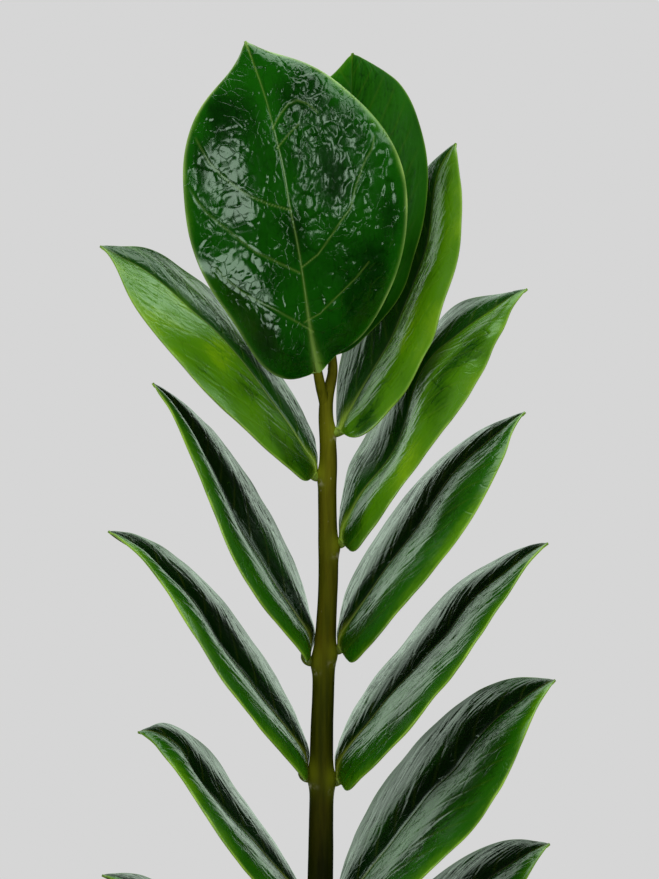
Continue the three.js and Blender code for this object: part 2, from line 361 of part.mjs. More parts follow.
function geometryOf(points, triangles) {
  const g = new THREE.BufferGeometry();
  g.setAttribute("position", new THREE.Float32BufferAttribute(points.flat(), 3));
  g.setIndex(triangles.flat());
  return g;
}
function toSolid(geometry) {
  const g = geometry.clone();
  g.deleteAttribute("normal");
  g.deleteAttribute("uv");
  const m = mergeVertices(g, 1e-4);
  return new wasm.Manifold(
    new wasm.Mesh({
      numProp: 3,
      vertProperties: new Float32Array(m.attributes.position.array),
      triVerts: new Uint32Array(m.index.array),
    }),
  );
}
function fromSolid(solid) {
  const m = solid.getMesh();
  const g = new THREE.BufferGeometry();
  g.setAttribute("position", new THREE.BufferAttribute(new Float32Array(m.vertProperties), 3));
  g.setIndex(new THREE.BufferAttribute(new Uint32Array(m.triVerts), 1));
  return g;
}
const group = new THREE.Group();
function add(name, geometry, material) {
  const g = geometry.clone();
  g.computeVertexNormals();
  const mesh = new THREE.Mesh(g, new THREE.MeshStandardMaterial(MATERIALS[material]));
  mesh.name = name;
  group.add(mesh);
}
const vec = (p) => new THREE.Vector3(p[0], p[1], p[2]);

// A round sweep through rows of z, x, y, radius, with flat ends.
function sweep(rows, sides) {
  const points = [];
  const faces = [];
  const axis = rows.map(([z, x, y]) => new THREE.Vector3(x, y, z));
  rows.forEach(([, , , r], i) => {
    const t = axis[Math.min(i + 1, rows.length - 1)].clone().sub(axis[Math.max(i - 1, 0)]).normalize();
    const e = new THREE.Vector3(1, 0, 0).addScaledVector(t, -t.x).normalize();
    const f = t.clone().cross(e);
    for (let k = 0; k < sides; k++) {
      const a = (2 * Math.PI * k) / sides;
      const p = axis[i].clone().addScaledVector(e, r * Math.cos(a)).addScaledVector(f, r * Math.sin(a));
      points.push([p.x, p.y, p.z]);
    }
  });
  for (let i = 0; i + 1 < rows.length; i++)
    for (let k = 0; k < sides; k++) {
      const a = i * sides + k, b = i * sides + ((k + 1) % sides);
      faces.push([a, b, b + sides], [a, b + sides, a + sides]);
    }
  const last = (rows.length - 1) * sides;
  for (let k = 1; k + 1 < sides; k++) {
    faces.push([0, k + 1, k]);
    faces.push([last, last + k, last + k + 1]);
  }
  return geometryOf(points, faces);
}

// A leaflet: two half-blades that arch up from a sunken midrib, as one thin closed body.
function leaflet({ arch, rows }) {
  const n = rows.length, m = LEAF_ACROSS + 1;
  const low = rows.map((r) => vec(r.slice(0, 3)));
  const mid = rows.map((r) => vec(r.slice(3, 6)));
  const high = rows.map((r) => vec(r.slice(6, 9)));
  // the last row closes to a narrow tip
  const end = mid[n - 1].clone(), back = mid[n - 2].clone().sub(end).normalize();
  const tipSide = low[n - 2].clone().sub(high[n - 2]).normalize();
  low[n - 1] = end.clone().addScaledVector(tipSide, 0.45).addScaledVector(back, 0.2);
  high[n - 1] = end.clone().addScaledVector(tipSide, -0.45).addScaledVector(back, 0.2);
  // the foot is a narrow strip that lies the way the blade next to it does
  const heading = mid[1].clone().sub(mid[0]).normalize();
  const footSide = low[1].clone().sub(high[1]);
  footSide.addScaledVector(heading, -footSide.dot(heading)).normalize();
  low[0] = mid[0].clone().addScaledVector(footSide, 1.4);
  high[0] = mid[0].clone().addScaledVector(footSide, -1.4);
  // the glossy face looks up and to the front; one sign holds for the whole blade
  const facing = (i) => {
    const t = mid[Math.min(i + 1, n - 1)].clone().sub(mid[Math.max(i - 1, 0)]);
    return high[i].clone().sub(low[i]).cross(t);
  };
  const mean = new THREE.Vector3();
  for (let i = 0; i < n; i++) mean.add(facing(i));
  const sign = mean.z * 1.2 - mean.y > 0 ? 1 : -1;
  // the first and last two rows are offset one way all across, so the faces can't cross there
  const second = facing(1).normalize().multiplyScalar(sign), last = facing(n - 3).normalize().multiplyScalar(sign);
  const first = footSide.clone().negate().cross(heading).normalize().multiplyScalar(sign);
  const ends = [first, second.clone().add(first).normalize(), last, last];
  const grid = [];
  for (let i = 0; i < n; i++) {
    const face = i === 0 ? first : facing(i).normalize().multiplyScalar(sign);
    const taper = Math.sin(Math.PI * Math.min(1, (i + 0.3) / (n - 1))) ** 0.7;
    for (let j = 0; j < m; j++) {
      const u = (2 * j) / LEAF_ACROSS - 1;
      const edge = u < 0 ? low[i] : high[i];
      const p = mid[i].clone().lerp(edge, Math.abs(u));
      p.addScaledVector(face, 4 * arch * Math.max(taper, 0) * Math.abs(u) * (1 - Math.abs(u)));
      grid.push(p);
    }
  }
  const at = (i, j) => grid[i * m + j];
  const top = [], bottom = [];
  for (let i = 0; i < n; i++)
    for (let j = 0; j < m; j++) {
      const along = at(Math.min(i + 1, n - 1), j).clone().sub(at(Math.max(i - 1, 0), j));
      const across = at(i, Math.min(j + 1, m - 1)).clone().sub(at(i, Math.max(j - 1, 0)));
      const normal = across.cross(along).normalize().multiplyScalar(sign);
      if (i < 2 || i > n - 3) normal.copy(ends[i < 2 ? i : i - n + 4]);
      const u = Math.abs((2 * j) / LEAF_ACROSS - 1);
      const h = ((LEAF_T + (LEAF_RIM_T - LEAF_T) * u) / 2) * (i === 0 ? 0.7 : 1);
      const p = at(i, j);
      top.push(p.clone().addScaledVector(normal, h).toArray());
      bottom.push(p.clone().addScaledVector(normal, -h).toArray());
    }
  const points = [...top, ...bottom], faces = [], half = n * m;
  const quad = (a, b, c, d) => faces.push([a, b, c], [a, c, d]);
  for (let i = 0; i + 1 < n; i++)
    for (let j = 0; j + 1 < m; j++) {
      const a = i * m + j;
      quad(a, a + 1, a + 1 + m, a + m);
      quad(half + a, half + a + m, half + a + 1 + m, half + a + 1);
    }
  for (let i = 0; i + 1 < n; i++) {
    const a = i * m, b = i * m + m - 1;
    quad(a, a + m, half + a + m, half + a);
    quad(b, half + b, half + b + m, b + m);
  }
  for (let j = 0; j + 1 < m; j++) {
    const a = j, b = (n - 1) * m + j;
    quad(a, half + a, half + a + 1, a + 1);
    quad(b, b + 1, half + b + 1, half + b);
  }
  let solid = geometryOf(points, faces);
  if (volumeOf(solid) < 0) solid = geometryOf(points, faces.map(([a, b, c]) => [a, c, b]));
  return solid;
}
function volumeOf(geometry) {
  const p = geometry.attributes.position, ix = geometry.index.array;
  const a = new THREE.Vector3(), b = new THREE.Vector3(), c = new THREE.Vector3();
  let v = 0;
  for (let i = 0; i < ix.length; i += 3) {
    a.fromBufferAttribute(p, ix[i]); b.fromBufferAttribute(p, ix[i + 1]); c.fromBufferAttribute(p, ix[i + 2]);
    v += a.dot(b.clone().cross(c)) / 6;
  }
  return v;
}
function lathe(profile, segments) {
  const g = new THREE.LatheGeometry(profile.map(([r, z]) => new THREE.Vector2(r, z)), segments);
  g.rotateX(Math.PI / 2); // the lathe turns about +Y; the pot stands along +Z
  return g;
}

// ---- pot ----------------------------------------------------------------------------
const RIM_FOOT_Z = POT_HEIGHT - POT_RIM_DROP;
const innerTopR = POT_RIM_R - POT_WALL - 0.6;
const innerFootR = POT_FOOT_R - POT_WALL + 0.8;
const innerR = (z) => innerFootR + ((innerTopR - innerFootR) * (z - POT_FLOOR)) / (POT_HEIGHT - POT_FLOOR);
const potProfile = [
  [0, 0], [POT_FOOT_R - 1.5, 0], [POT_FOOT_R, 1.5], [POT_BODY_R, RIM_FOOT_Z - 1.2],
  [POT_RIM_R - 1.9, RIM_FOOT_Z], [POT_RIM_R - 1.1, RIM_FOOT_Z + 1.4], [POT_RIM_R, POT_HEIGHT - 2],
  [POT_RIM_R - 1.5, POT_HEIGHT], [innerTopR + 1.2, POT_HEIGHT], [innerTopR, POT_HEIGHT - 1.4],
  [innerFootR + 2.5, POT_FLOOR + 2.5], [innerFootR - 0.8, POT_FLOOR], [0, POT_FLOOR],
];
let pot = toSolid(lathe(potProfile, 48));
for (let k = 0; k < 4; k++) {
  const hole = new THREE.CylinderGeometry(DRAIN_HOLE_D / 2, DRAIN_HOLE_D / 2, POT_FLOOR + 4, 16);
  hole.rotateX(Math.PI / 2);
  const a = Math.PI / 4 + (k * Math.PI) / 2;
  hole.translate(DRAIN_HOLE_PITCH_R * Math.cos(a), DRAIN_HOLE_PITCH_R * Math.sin(a), POT_FLOOR / 2);
  pot = pot.subtract(toSolid(hole));
}
add("pot", fromSolid(pot), "terracotta");

// ---- rhizome: a lumpy tuber with a flat crown ----------------------------------------
function rhizomeGeometry(grow) {
  const g = new THREE.SphereGeometry(1, 22, 14);
  g.rotateX(Math.PI / 2);
  const p = g.attributes.position;
  for (let i = 0; i < p.count; i++) {
    const x = p.getX(i), y = p.getY(i), z = p.getZ(i);
    const lump = 1 + 0.06 * Math.sin(3 * x + 1) * Math.cos(2.5 * y) + 0.04 * Math.sin(5 * z + 2 * x);
    const q = [x, y, z].map((v, k) => v * lump * (RHIZOME_R[k] + grow) + RHIZOME_CENTRE[k]);
    p.setXYZ(i, q[0], q[1], Math.min(q[2], RHIZOME_CROWN_Z + grow));
  }
  return g;
}
add("rhizome", fromSolid(toSolid(rhizomeGeometry(0))), "rhizome");

// ---- soil: fills the pot, mounded to the stalk, with the rhizome's bed in it ----------
const soilSide = (z) => innerR(z) - GAP - 0.35;
const soilTop = (r, a) => {
  const mound = SOIL_MOUND * (0.5 + 0.5 * Math.cos(Math.PI * Math.min(1, r / soilSide(SOIL_TOP))));
  const rough = 0.5 * Math.sin(r * 0.55 + 3 * a) * Math.cos(2 * a + r * 0.21) + 0.35 * Math.sin(5 * a - r * 0.4);
  return SOIL_TOP - SOIL_MOUND + mound + (r > 1 ? rough * Math.min(1, r / 12) : 0);
};
const soilRings = [11, 20, 29, 38, 46, soilSide(SOIL_TOP - 2)];
const SOIL_SEGMENTS = 40;
const soilProfile = [
  [0, POT_FLOOR + GAP], [innerFootR - 1.6, POT_FLOOR + GAP], [innerFootR + 1.6, POT_FLOOR + 3.2],
  [soilSide(60), 60], [soilSide(SOIL_TOP - 6), SOIL_TOP - 6],
  ...soilRings.slice().reverse().map((r) => [r, SOIL_TOP]), [0, SOIL_TOP],
];
const soilGeometry = lathe(soilProfile, SOIL_SEGMENTS);
{
  const p = soilGeometry.attributes.position;
  for (let i = 0; i < p.count; i++)
    if (p.getZ(i) > SOIL_TOP - 0.5) {
      const x = p.getX(i), y = p.getY(i), r = Math.hypot(x, y);
      p.setZ(i, soilTop(r, r < 0.01 ? 0 : Math.atan2(y, x)));
    }
}
// the bed is open upwards, so the tuber's crown stands clear of the soil
add("soil", fromSolid(toSolid(soilGeometry).subtract(toSolid(rhizomeGeometry(GAP)))), "soil");

// ---- stalk --------------------------------------------------------------------------
const stalk = toSolid(sweep(STALK, STALK_SIDES)).add(toSolid(sweep(TIP_FORK, 10)));
add("stalk", fromSolid(stalk), "stalk");

// ---- basal sheath: a dry leaf wrapped three quarters round the stalk's foot -----------
{
  const around = 18, up = 5, open = 0.62; // open is the half angle of the gap, at the right rear
  const radiusAt = (z) => {
    const k = STALK.findIndex((r) => r[0] > z);
    const [z0, , , r0] = STALK[k - 1], [z1, , , r1] = STALK[k];
    return r0 + ((r1 - r0) * (z - z0)) / (z1 - z0);
  };
  const centreAt = (z) => {
    const k = STALK.findIndex((r) => r[0] > z);
    const [z0, x0, y0] = STALK[k - 1], [z1, x1, y1] = STALK[k];
    const f = (z - z0) / (z1 - z0);
    return [x0 + (x1 - x0) * f, y0 + (y1 - y0) * f];
  };
  const inner = [], outer = [];
  for (let i = 0; i <= around; i++) {
    const v = i / around, a = 0.9 + open + v * (2 * Math.PI - 2 * open);
    const height = SHEATH_HEIGHT * (0.35 + 0.65 * Math.sin(Math.PI * v) ** 1.2);
    for (let j = 0; j <= up; j++) {
      const w = j / up, z = 111.2 + height * w;
      const [cx, cy] = centreAt(z);
      const r = radiusAt(z) + 0.55 + 1.7 * w * w * (0.4 + 0.6 * Math.sin(7 * v) ** 2);
      const t = SHEATH_T * (1 - 0.4 * w);
      inner.push([cx + r * Math.cos(a), cy + r * Math.sin(a), z]);
      outer.push([cx + (r + t) * Math.cos(a), cy + (r + t) * Math.sin(a), z]);
    }
  }
  const m = up + 1, half = inner.length, faces = [];
  const quad = (a, b, c, d) => faces.push([a, b, c], [a, c, d]);
  for (let i = 0; i < around; i++)
    for (let j = 0; j < up; j++) {
      const a = i * m + j;
      quad(a, a + 1, a + 1 + m, a + m);
      quad(half + a, half + a + m, half + a + 1 + m, half + a + 1);
    }
  for (let i = 0; i < around; i++) {
    const a = i * m, b = i * m + up;
    quad(a, a + m, half + a + m, half + a);
    quad(b, half + b, half + b + m, b + m);
  }
  for (let j = 0; j < up; j++) {
    const a = j, b = around * m + j;
    quad(a, half + a, half + a + 1, a + 1);
    quad(b, b + 1, half + b + 1, half + b);
  }
  let sheath = geometryOf([...inner, ...outer], faces);
  if (volumeOf(sheath) < 0) sheath = geometryOf([...inner, ...outer], faces.map(([a, b, c]) => [a, c, b]));
  add("basal_sheath", sheath, "sheath");
}

// ---- leaflets -----------------------------------------------------------------------
const YOUNG = new Set(["leaflet_right_1", "leaflet_right_2", "leaflet_left_1"]);
for (const [name, spec] of Object.entries(LEAFLETS))
  add(name, leaflet(spec), YOUNG.has(name) ? "young_leaf" : "leaf");

export default group;
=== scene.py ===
import math

import bpy
import numpy as np
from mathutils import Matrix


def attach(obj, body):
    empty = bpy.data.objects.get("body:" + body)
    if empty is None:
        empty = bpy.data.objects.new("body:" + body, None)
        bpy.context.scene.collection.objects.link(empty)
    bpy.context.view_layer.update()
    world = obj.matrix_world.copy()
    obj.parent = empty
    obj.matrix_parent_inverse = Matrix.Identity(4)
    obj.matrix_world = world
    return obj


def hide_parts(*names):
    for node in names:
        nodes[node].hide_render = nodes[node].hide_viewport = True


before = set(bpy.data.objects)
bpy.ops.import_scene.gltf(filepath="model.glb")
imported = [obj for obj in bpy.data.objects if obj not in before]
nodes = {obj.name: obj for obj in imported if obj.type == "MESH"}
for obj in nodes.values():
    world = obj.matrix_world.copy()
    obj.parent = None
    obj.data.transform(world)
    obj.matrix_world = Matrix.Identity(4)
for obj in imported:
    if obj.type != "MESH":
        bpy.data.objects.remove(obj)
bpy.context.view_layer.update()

MM = 0.001

# ---------------------------------------------------------------- camera
EYE = (1.035, -600.0, 389.0)
camera_data = bpy.data.cameras.new("camera")
camera_data.sensor_width = 36.0
camera_data.lens = 106.84
camera_data.clip_start = 0.01
camera_data.clip_end = 50.0
camera = bpy.data.objects.new("camera", camera_data)
camera.location = [v * MM for v in EYE]
camera.rotation_euler = (math.pi / 2, 0.0, 0.0)
bpy.context.scene.collection.objects.link(camera)
bpy.context.scene.camera = camera

# ---------------------------------------------------------------- driving shapes
# Leaflet control rows, base to tip: x, y, z of the lower (or left) margin, the midrib and the
# upper (or right) margin, the same rows as the CAD solids are made from.
LEAFLETS = {
    "leaflet_tip_front": (
        (-3.06, -3.2, 403.86, -1.6, -3.2, 404.44, -0.55, -3.2, 407.81),
        (-6.67, -0.53, 403.05, -2.24, -5.11, 407.32, 3.11, -0.53, 409.08),
        (-11.08, -0.86, 403.7, -2.89, -7.25, 410.84, 7, -0.86, 411.72),
        (-15.19, -1.95, 406.84, -3.53, -9.59, 414.94, 10.67, -1.95, 415.75),
        (-18.41, -3.54, 411.74, -4.13, -12, 419.57, 13.78, -3.54, 421.03),
        (-21.84, -5.22, 417.14, -4.82, -14.12, 424.64, 16.4, -5.22, 427.19),
        (-25.68, -7.12, 422.77, -5.65, -16.11, 430.03, 18.12, -7.12, 434.08),
        (-28.86, -9.09, 429.06, -6.69, -17.85, 435.61, 18.68, -9.09, 441.45),
        (-30.9, -10.75, 435.99, -7.88, -19, 441.32, 17.89, -10.75, 448.95),
        (-31.75, -12.18, 443.15, -8.83, -19.7, 447.1, 15.16, -12.18, 455.96),
        (-31.88, -13.61, 450.18, -10, -20.23, 452.71, 10.82, -13.61, 461.91),
        (-30.73, -14.88, 456.78, -11.35, -20.48, 458.04, 5.66, -14.88, 466.71),
        (-28.25, -15.75, 462.56, -12.66, -20.29, 463.06, 0.42, -15.75, 470.74),
        (-24.79, -16.12, 467.19, -14.09, -19.57, 467.65, -4.97, -16.12, 473.44),
        (-21.41, -16.42, 471.03, -15.51, -18.79, 471.69, -10.11, -16.42, 474.96),
        (-19.07, -16.59, 474.7, -16.77, -17.89, 475.18, -14.46, -16.59, 476.4),
        (-17.9, -17, 478.04, -17.84, -17, 478.06, -17.77, -17, 478.08),
    ),
    "leaflet_tip_back": (
        (0.39, 3.2, 407.37, 1.38, 3.2, 408.08, 2.63, 3.2, 408.26),
        (-1.69, 5.61, 409.81, 1.67, 2.56, 410.77, 5.58, 5.1, 409.8),
        (-4.31, 6.07, 412.64, 2.05, 1.81, 414.04, 8.75, 5.36, 412.28),
        (-6.67, 6.08, 416.44, 2.55, 0.99, 417.85, 12.07, 5.23, 415.59),
        (-8.6, 5.73, 421.11, 3.12, 0.09, 422.14, 15.51, 4.79, 419.61),
        (-10.11, 5.17, 426.43, 3.66, -0.77, 426.86, 18.5, 4.18, 424.55),
        (-11.2, 4.25, 432.22, 4.21, -1.74, 431.9, 20.34, 3.25, 430.43),
        (-11.99, 3.22, 438.29, 4.73, -2.62, 437.16, 22.15, 2.25, 436.59),
        (-12.23, 2.5, 444.56, 5.17, -3, 442.57, 23.31, 1.58, 443.05),
        (-11.92, 2.07, 450.84, 5.54, -2.94, 448.03, 23.76, 1.23, 449.63),
        (-10.84, 1.62, 456.88, 5.83, -2.79, 453.39, 23.18, 0.89, 456.04),
        (-8.76, 1.16, 462.36, 6.03, -2.57, 458.52, 21.64, 0.54, 462),
        (-5.64, 0.79, 466.85, 6.16, -2.24, 463.35, 19.54, 0.28, 467.36),
        (-1.86, 0.68, 470.14, 6.2, -1.62, 467.79, 16.49, 0.29, 471.64),
        (1.65, 0.7, 472.87, 6.2, -0.88, 471.75, 12.68, 0.44, 474.32),
        (4.3, 0.72, 475.6, 6.25, -0.15, 475.16, 9.24, 0.58, 476.36),
        (6.27, 0.5, 477.98, 6.33, 0.5, 477.97, 6.42, 0.5, 478.01),
    ),
    "leaflet_right_1": (
        (3.28, -1.1, 389.35, 3.28, 0, 390.95, 3.28, 1.1, 392.55),
        (6.54, -3.43, 389.29, 4.51, 0.9, 393.32, 2.68, 5.23, 396.32),
        (9.99, -5.17, 390.51, 6.23, 1.91, 396.3, 2.73, 9, 399.79),
        (13.11, -6.44, 393.45, 8.17, 2.99, 399.83, 3.04, 12.41, 403.86),
        (16.21, -7.3, 397.21, 10.46, 4.05, 403.79, 3.75, 15.41, 408.45),
        (19.39, -7.76, 401.5, 13.04, 5.05, 408.1, 4.88, 17.86, 413.43),
        (21.89, -7.8, 406.66, 15.66, 5.9, 412.81, 6.49, 19.61, 418.67),
        (24.53, -7.44, 412.06, 17.82, 6.56, 418.02, 8.45, 20.56, 424.03),
        (26.43, -6.7, 417.93, 20.02, 7, 423.34, 10.58, 20.7, 429.41),
        (28.52, -5.65, 423.78, 22.07, 7.19, 428.71, 12.86, 20.03, 434.67),
        (30.2, -4.39, 429.66, 23.78, 7.14, 434.05, 15.28, 18.67, 439.65),
        (31.12, -3.02, 435.46, 24.58, 6.87, 439.34, 17.85, 16.76, 444.2),
        (31.43, -1.6, 440.98, 25.11, 6.43, 444.28, 20.53, 14.46, 448.19),
        (31.43, -0.21, 446.05, 25.75, 5.86, 448.74, 23.21, 11.93, 451.55),
        (31, 1.12, 450.53, 27.06, 5.23, 452.47, 25.78, 9.34, 454.27),
        (30.61, 2.42, 454.39, 28.75, 4.59, 455.38, 28.28, 6.76, 456.19),
        (30.37, 4, 457.63, 30.31, 4, 457.66, 30.29, 4, 457.67),
    ),
    "leaflet_right_2": (
        (3.96, -1.1, 363.86, 3.96, 0, 365.46, 3.96, 1.1, 367.06),
        (6.49, -4.69, 363.44, 4.22, 0.11, 368.13, 3.51, 5.37, 371.45),
        (8.97, -7.63, 366.02, 5.69, 0.21, 371.36, 3.87, 8.81, 374.97),
        (11.36, -10.13, 369.44, 7.59, 0.3, 375.04, 4.8, 11.75, 379.08),
        (13.94, -12.21, 373.32, 10.25, 0.36, 378.91, 6.08, 14.15, 383.72),
        (16.82, -13.81, 377.5, 13.56, 0.37, 382.84, 8.67, 15.93, 388.35),
        (20.01, -14.85, 381.86, 16.52, 0.32, 387.47, 11.45, 16.96, 393.35),
        (23.36, -15.3, 386.41, 18.58, 0.2, 392.84, 14.3, 17.2, 398.62),
        (26.82, -15.16, 391.04, 20, 0, 398.55, 17.35, 16.63, 403.9),
        (30.26, -14.49, 395.71, 22.06, -0.27, 404.03, 20.67, 15.32, 408.96),
        (33.37, -13.38, 400.5, 25.36, -0.61, 408.72, 24.37, 13.4, 413.51),
        (36.15, -11.94, 405.24, 29.54, -1, 412.25, 27.85, 11.01, 417.81),
        (38.44, -10.31, 409.89, 33.57, -1.42, 415.39, 31.89, 8.33, 420.86),
        (40.65, -8.57, 414.1, 37.43, -1.85, 417.97, 36.34, 5.52, 421.97),
        (42.35, -6.82, 417.99, 40.8, -2.27, 420.3, 40.35, 2.72, 422.39),
        (44.34, -5.07, 421.08, 43.79, -2.66, 422.12, 43.7, -0.02, 422.87),
        (46.34, -3, 423.45, 46.32, -3, 423.47, 46.31, -3, 423.48),
    ),
    "leaflet_right_3": (
        (3.51, -1.1, 339.41, 3.51, 0, 341.01, 3.51, 1.1, 342.61),
        (5.95, -5.79, 338.25, 3.79, -0.53, 343.49, 3.25, 5.04, 344.59),
        (8.64, -9.74, 340.63, 5.38, -1.14, 346.36, 3.71, 7.96, 347.79),
        (11.3, -13.26, 343.83, 7.54, -1.82, 349.62, 4.64, 10.3, 351.56),
        (14.17, -16.31, 347.44, 10, -2.52, 353.26, 6.22, 12.09, 355.76),
        (17.28, -18.77, 351.35, 12.63, -3.21, 357.29, 8.58, 13.26, 360.15),
        (20.56, -20.52, 355.48, 15.61, -3.88, 361.48, 11.3, 13.74, 364.79),
        (23.98, -21.48, 359.74, 18.88, -4.48, 365.71, 14.38, 13.52, 369.52),
        (27.37, -21.63, 364.14, 22.09, -5, 370.14, 17.82, 12.61, 374.16),
        (30.73, -21.01, 368.57, 24.85, -5.42, 374.84, 21.45, 11.09, 378.61),
        (33.72, -19.74, 373.13, 27.8, -5.74, 379.27, 25.22, 9.09, 382.73),
        (36.36, -17.96, 377.67, 31.08, -5.95, 383.17, 29.1, 6.76, 386.31),
        (38.69, -15.83, 382.02, 34.64, -6.08, 386.32, 32.99, 4.25, 389.27),
        (40.67, -13.5, 386.09, 37.96, -6.12, 389.11, 36.71, 1.69, 391.59),
        (42.15, -11.1, 389.84, 40.96, -6.11, 391.51, 40.19, -0.83, 393.19),
        (43.82, -8.71, 392.92, 43.52, -6.07, 393.57, 43.19, -3.27, 394.36),
        (45.62, -6, 395.26, 45.61, -6, 395.27, 45.59, -6, 395.3),
    ),
    "leaflet_right_4": (
        (3.06, -1.1, 309.1, 3.06, 0, 310.7, 3.06, 1.1, 312.3),
        (4.86, -5.72, 309, 3.28, -0.46, 313.42, 2.94, 5.11, 316.34),
        (7.57, -9.6, 311.8, 4.47, -1, 316.55, 3.79, 8.11, 319.43),
        (10.56, -13.05, 315.09, 6.85, -1.61, 319.96, 5.28, 10.5, 323.04),
        (13.74, -16.07, 318.83, 9.78, -2.28, 323.61, 7.54, 12.33, 327),
        (17.25, -18.52, 322.77, 12.89, -2.97, 327.7, 10.46, 13.5, 331.18),
        (20.76, -20.31, 327.07, 16.39, -3.67, 331.91, 13.89, 13.96, 335.52),
        (24.16, -21.35, 331.7, 20.26, -4.35, 336.1, 17.72, 13.65, 339.91),
        (27.88, -21.63, 336.16, 24.04, -5, 340.52, 21.32, 12.61, 344.67),
        (31.4, -21.2, 340.74, 27.99, -5.6, 344.77, 25.11, 10.91, 349.28),
        (34.56, -20.15, 345.42, 31.27, -6.14, 349.38, 29, 8.69, 353.59),
        (37.61, -18.62, 349.88, 34.69, -6.62, 353.56, 33.23, 6.1, 357.09),
        (40.5, -16.77, 354.05, 38.59, -7.02, 356.75, 37.42, 3.3, 359.93),
        (43.14, -14.73, 357.86, 42.14, -7.36, 359.66, 41.39, 0.45, 362.13),
        (45.74, -12.62, 361.1, 45.32, -7.63, 362.17, 44.94, -2.34, 363.89),
        (48.37, -10.48, 363.57, 48.2, -7.84, 364.09, 48.08, -5.04, 364.95),
        (50.66, -8, 365.52, 50.65, -8, 365.53, 50.64, -8, 365.56),
    ),
    "leaflet_right_5": (
        (2.9, -1.1, 278.04, 2.9, 0, 279.64, 2.9, 1.1, 281.24),
        (5.36, -5.75, 277.3, 3.35, -0.65, 282.08, 3.18, 4.62, 285.27),
        (8.79, -9.75, 279.29, 5.68, -1.4, 284.89, 4, 7.2, 288.47),
        (12.45, -13.34, 282.13, 8.58, -2.24, 287.97, 5.33, 9.2, 292.3),
        (16.27, -16.51, 285.59, 11.4, -3.13, 291.84, 7.24, 10.66, 296.64),
        (20.13, -19.13, 289.57, 14.67, -4.03, 295.91, 9.59, 11.52, 301.44),
        (24.17, -21.07, 293.76, 17.92, -4.91, 300.43, 12.53, 11.73, 306.45),
        (28.44, -22.25, 297.93, 21.39, -5.75, 305.07, 16.23, 11.25, 311.34),
        (32.53, -22.64, 302.37, 25.06, -6.5, 309.68, 20.03, 10.13, 316.38),
        (36.13, -22.29, 307.13, 29.32, -7.16, 313.69, 24.15, 8.44, 321.16),
        (39.32, -21.3, 311.96, 32.68, -7.7, 318.32, 28.54, 6.3, 325.46),
        (41.87, -19.79, 316.84, 36.07, -8.14, 322.6, 33, 3.87, 329.21),
        (44.14, -17.93, 321.45, 39.71, -8.47, 326.15, 37.52, 1.28, 332.11),
        (46.2, -15.86, 325.65, 43.41, -8.7, 328.94, 41.95, -1.32, 333.91),
        (48.24, -13.7, 329.28, 46.7, -8.86, 331.37, 46.03, -3.87, 334.58),
        (50.33, -11.51, 332.21, 49.67, -8.95, 333.21, 49.48, -6.31, 334.55),
        (52.26, -9, 334.46, 52.24, -9, 334.5, 52.23, -9, 334.54),
    ),
    "leaflet_right_6": (
        (2.91, -1.51, 248.93, 2.91, -0.41, 250.53, 2.91, 0.69, 252.13),
        (4.67, -5.58, 248.41, 3.24, -0.31, 252.49, 3.35, 4.95, 255.05),
        (7.88, -8.82, 250.05, 5.53, -0.22, 254.74, 4.35, 8.38, 257.55),
        (11.36, -11.58, 252.43, 8.37, -0.14, 257.21, 5.85, 11.3, 260.62),
        (15.05, -13.87, 255.32, 11.21, -0.08, 260.38, 7.9, 13.71, 264.15),
        (18.84, -15.6, 258.66, 14.47, -0.04, 263.74, 10.39, 15.51, 268.12),
        (22.81, -16.69, 262.15, 17.75, -0.05, 267.53, 13.43, 16.59, 272.32),
        (27.01, -17.1, 265.6, 21.25, -0.1, 271.44, 17.15, 16.9, 276.44),
        (31.08, -16.83, 269.27, 24.95, -0.2, 275.34, 20.98, 16.43, 280.74),
        (34.74, -15.94, 273.26, 29.13, -0.35, 278.69, 25.08, 15.24, 284.87),
        (38.02, -14.55, 277.33, 32.55, -0.54, 282.67, 29.39, 13.46, 288.6),
        (40.74, -12.78, 281.49, 35.96, -0.77, 286.36, 33.72, 11.23, 291.86),
        (43.16, -10.78, 285.42, 39.55, -1.03, 289.38, 38.04, 8.72, 294.37),
        (45.36, -8.66, 289, 43.12, -1.29, 291.71, 42.2, 6.09, 295.89),
        (47.51, -6.54, 292.06, 46.3, -1.55, 293.75, 45.95, 3.44, 296.41),
        (49.64, -4.43, 294.48, 49.14, -1.79, 295.26, 49.08, 0.85, 296.34),
        (51.59, -2, 296.27, 51.56, -2, 296.3, 51.56, -2, 296.34),
    ),
    "leaflet_right_7": (
        (3.28, -2.27, 219.28, 3.28, -1.17, 220.88, 3.28, -0.07, 222.48),
        (4.18, -7.33, 220.24, 3.43, -2.06, 223.32, 3.26, 3.2, 224.99),
        (6.73, -11.67, 223.19, 4.54, -3.07, 226.1, 4.31, 5.53, 227.25),
        (9.55, -15.62, 226.49, 6.88, -4.18, 229.08, 5.93, 7.26, 230.02),
        (12.58, -19.13, 230.08, 9.71, -5.34, 232.24, 8.23, 8.45, 233.1),
        (15.9, -22.07, 233.73, 12.73, -6.51, 235.73, 11.11, 9.04, 236.41),
        (19.26, -24.28, 237.56, 16.09, -7.64, 239.29, 14.42, 9, 239.91),
        (22.57, -25.68, 241.51, 19.77, -8.68, 242.77, 18.08, 8.32, 243.49),
        (26.13, -26.23, 245.15, 23.39, -9.6, 246.43, 21.59, 7.03, 247.5),
        (29.56, -25.97, 248.76, 27.13, -10.37, 249.9, 25.21, 5.22, 251.46),
        (32.68, -24.99, 252.35, 30.36, -10.98, 253.68, 28.9, 3.02, 255.19),
        (35.71, -23.45, 255.67, 33.66, -11.44, 257.05, 32.82, 0.57, 258.25),
        (38.58, -21.5, 258.67, 37.29, -11.75, 259.52, 36.64, -2, 260.75),
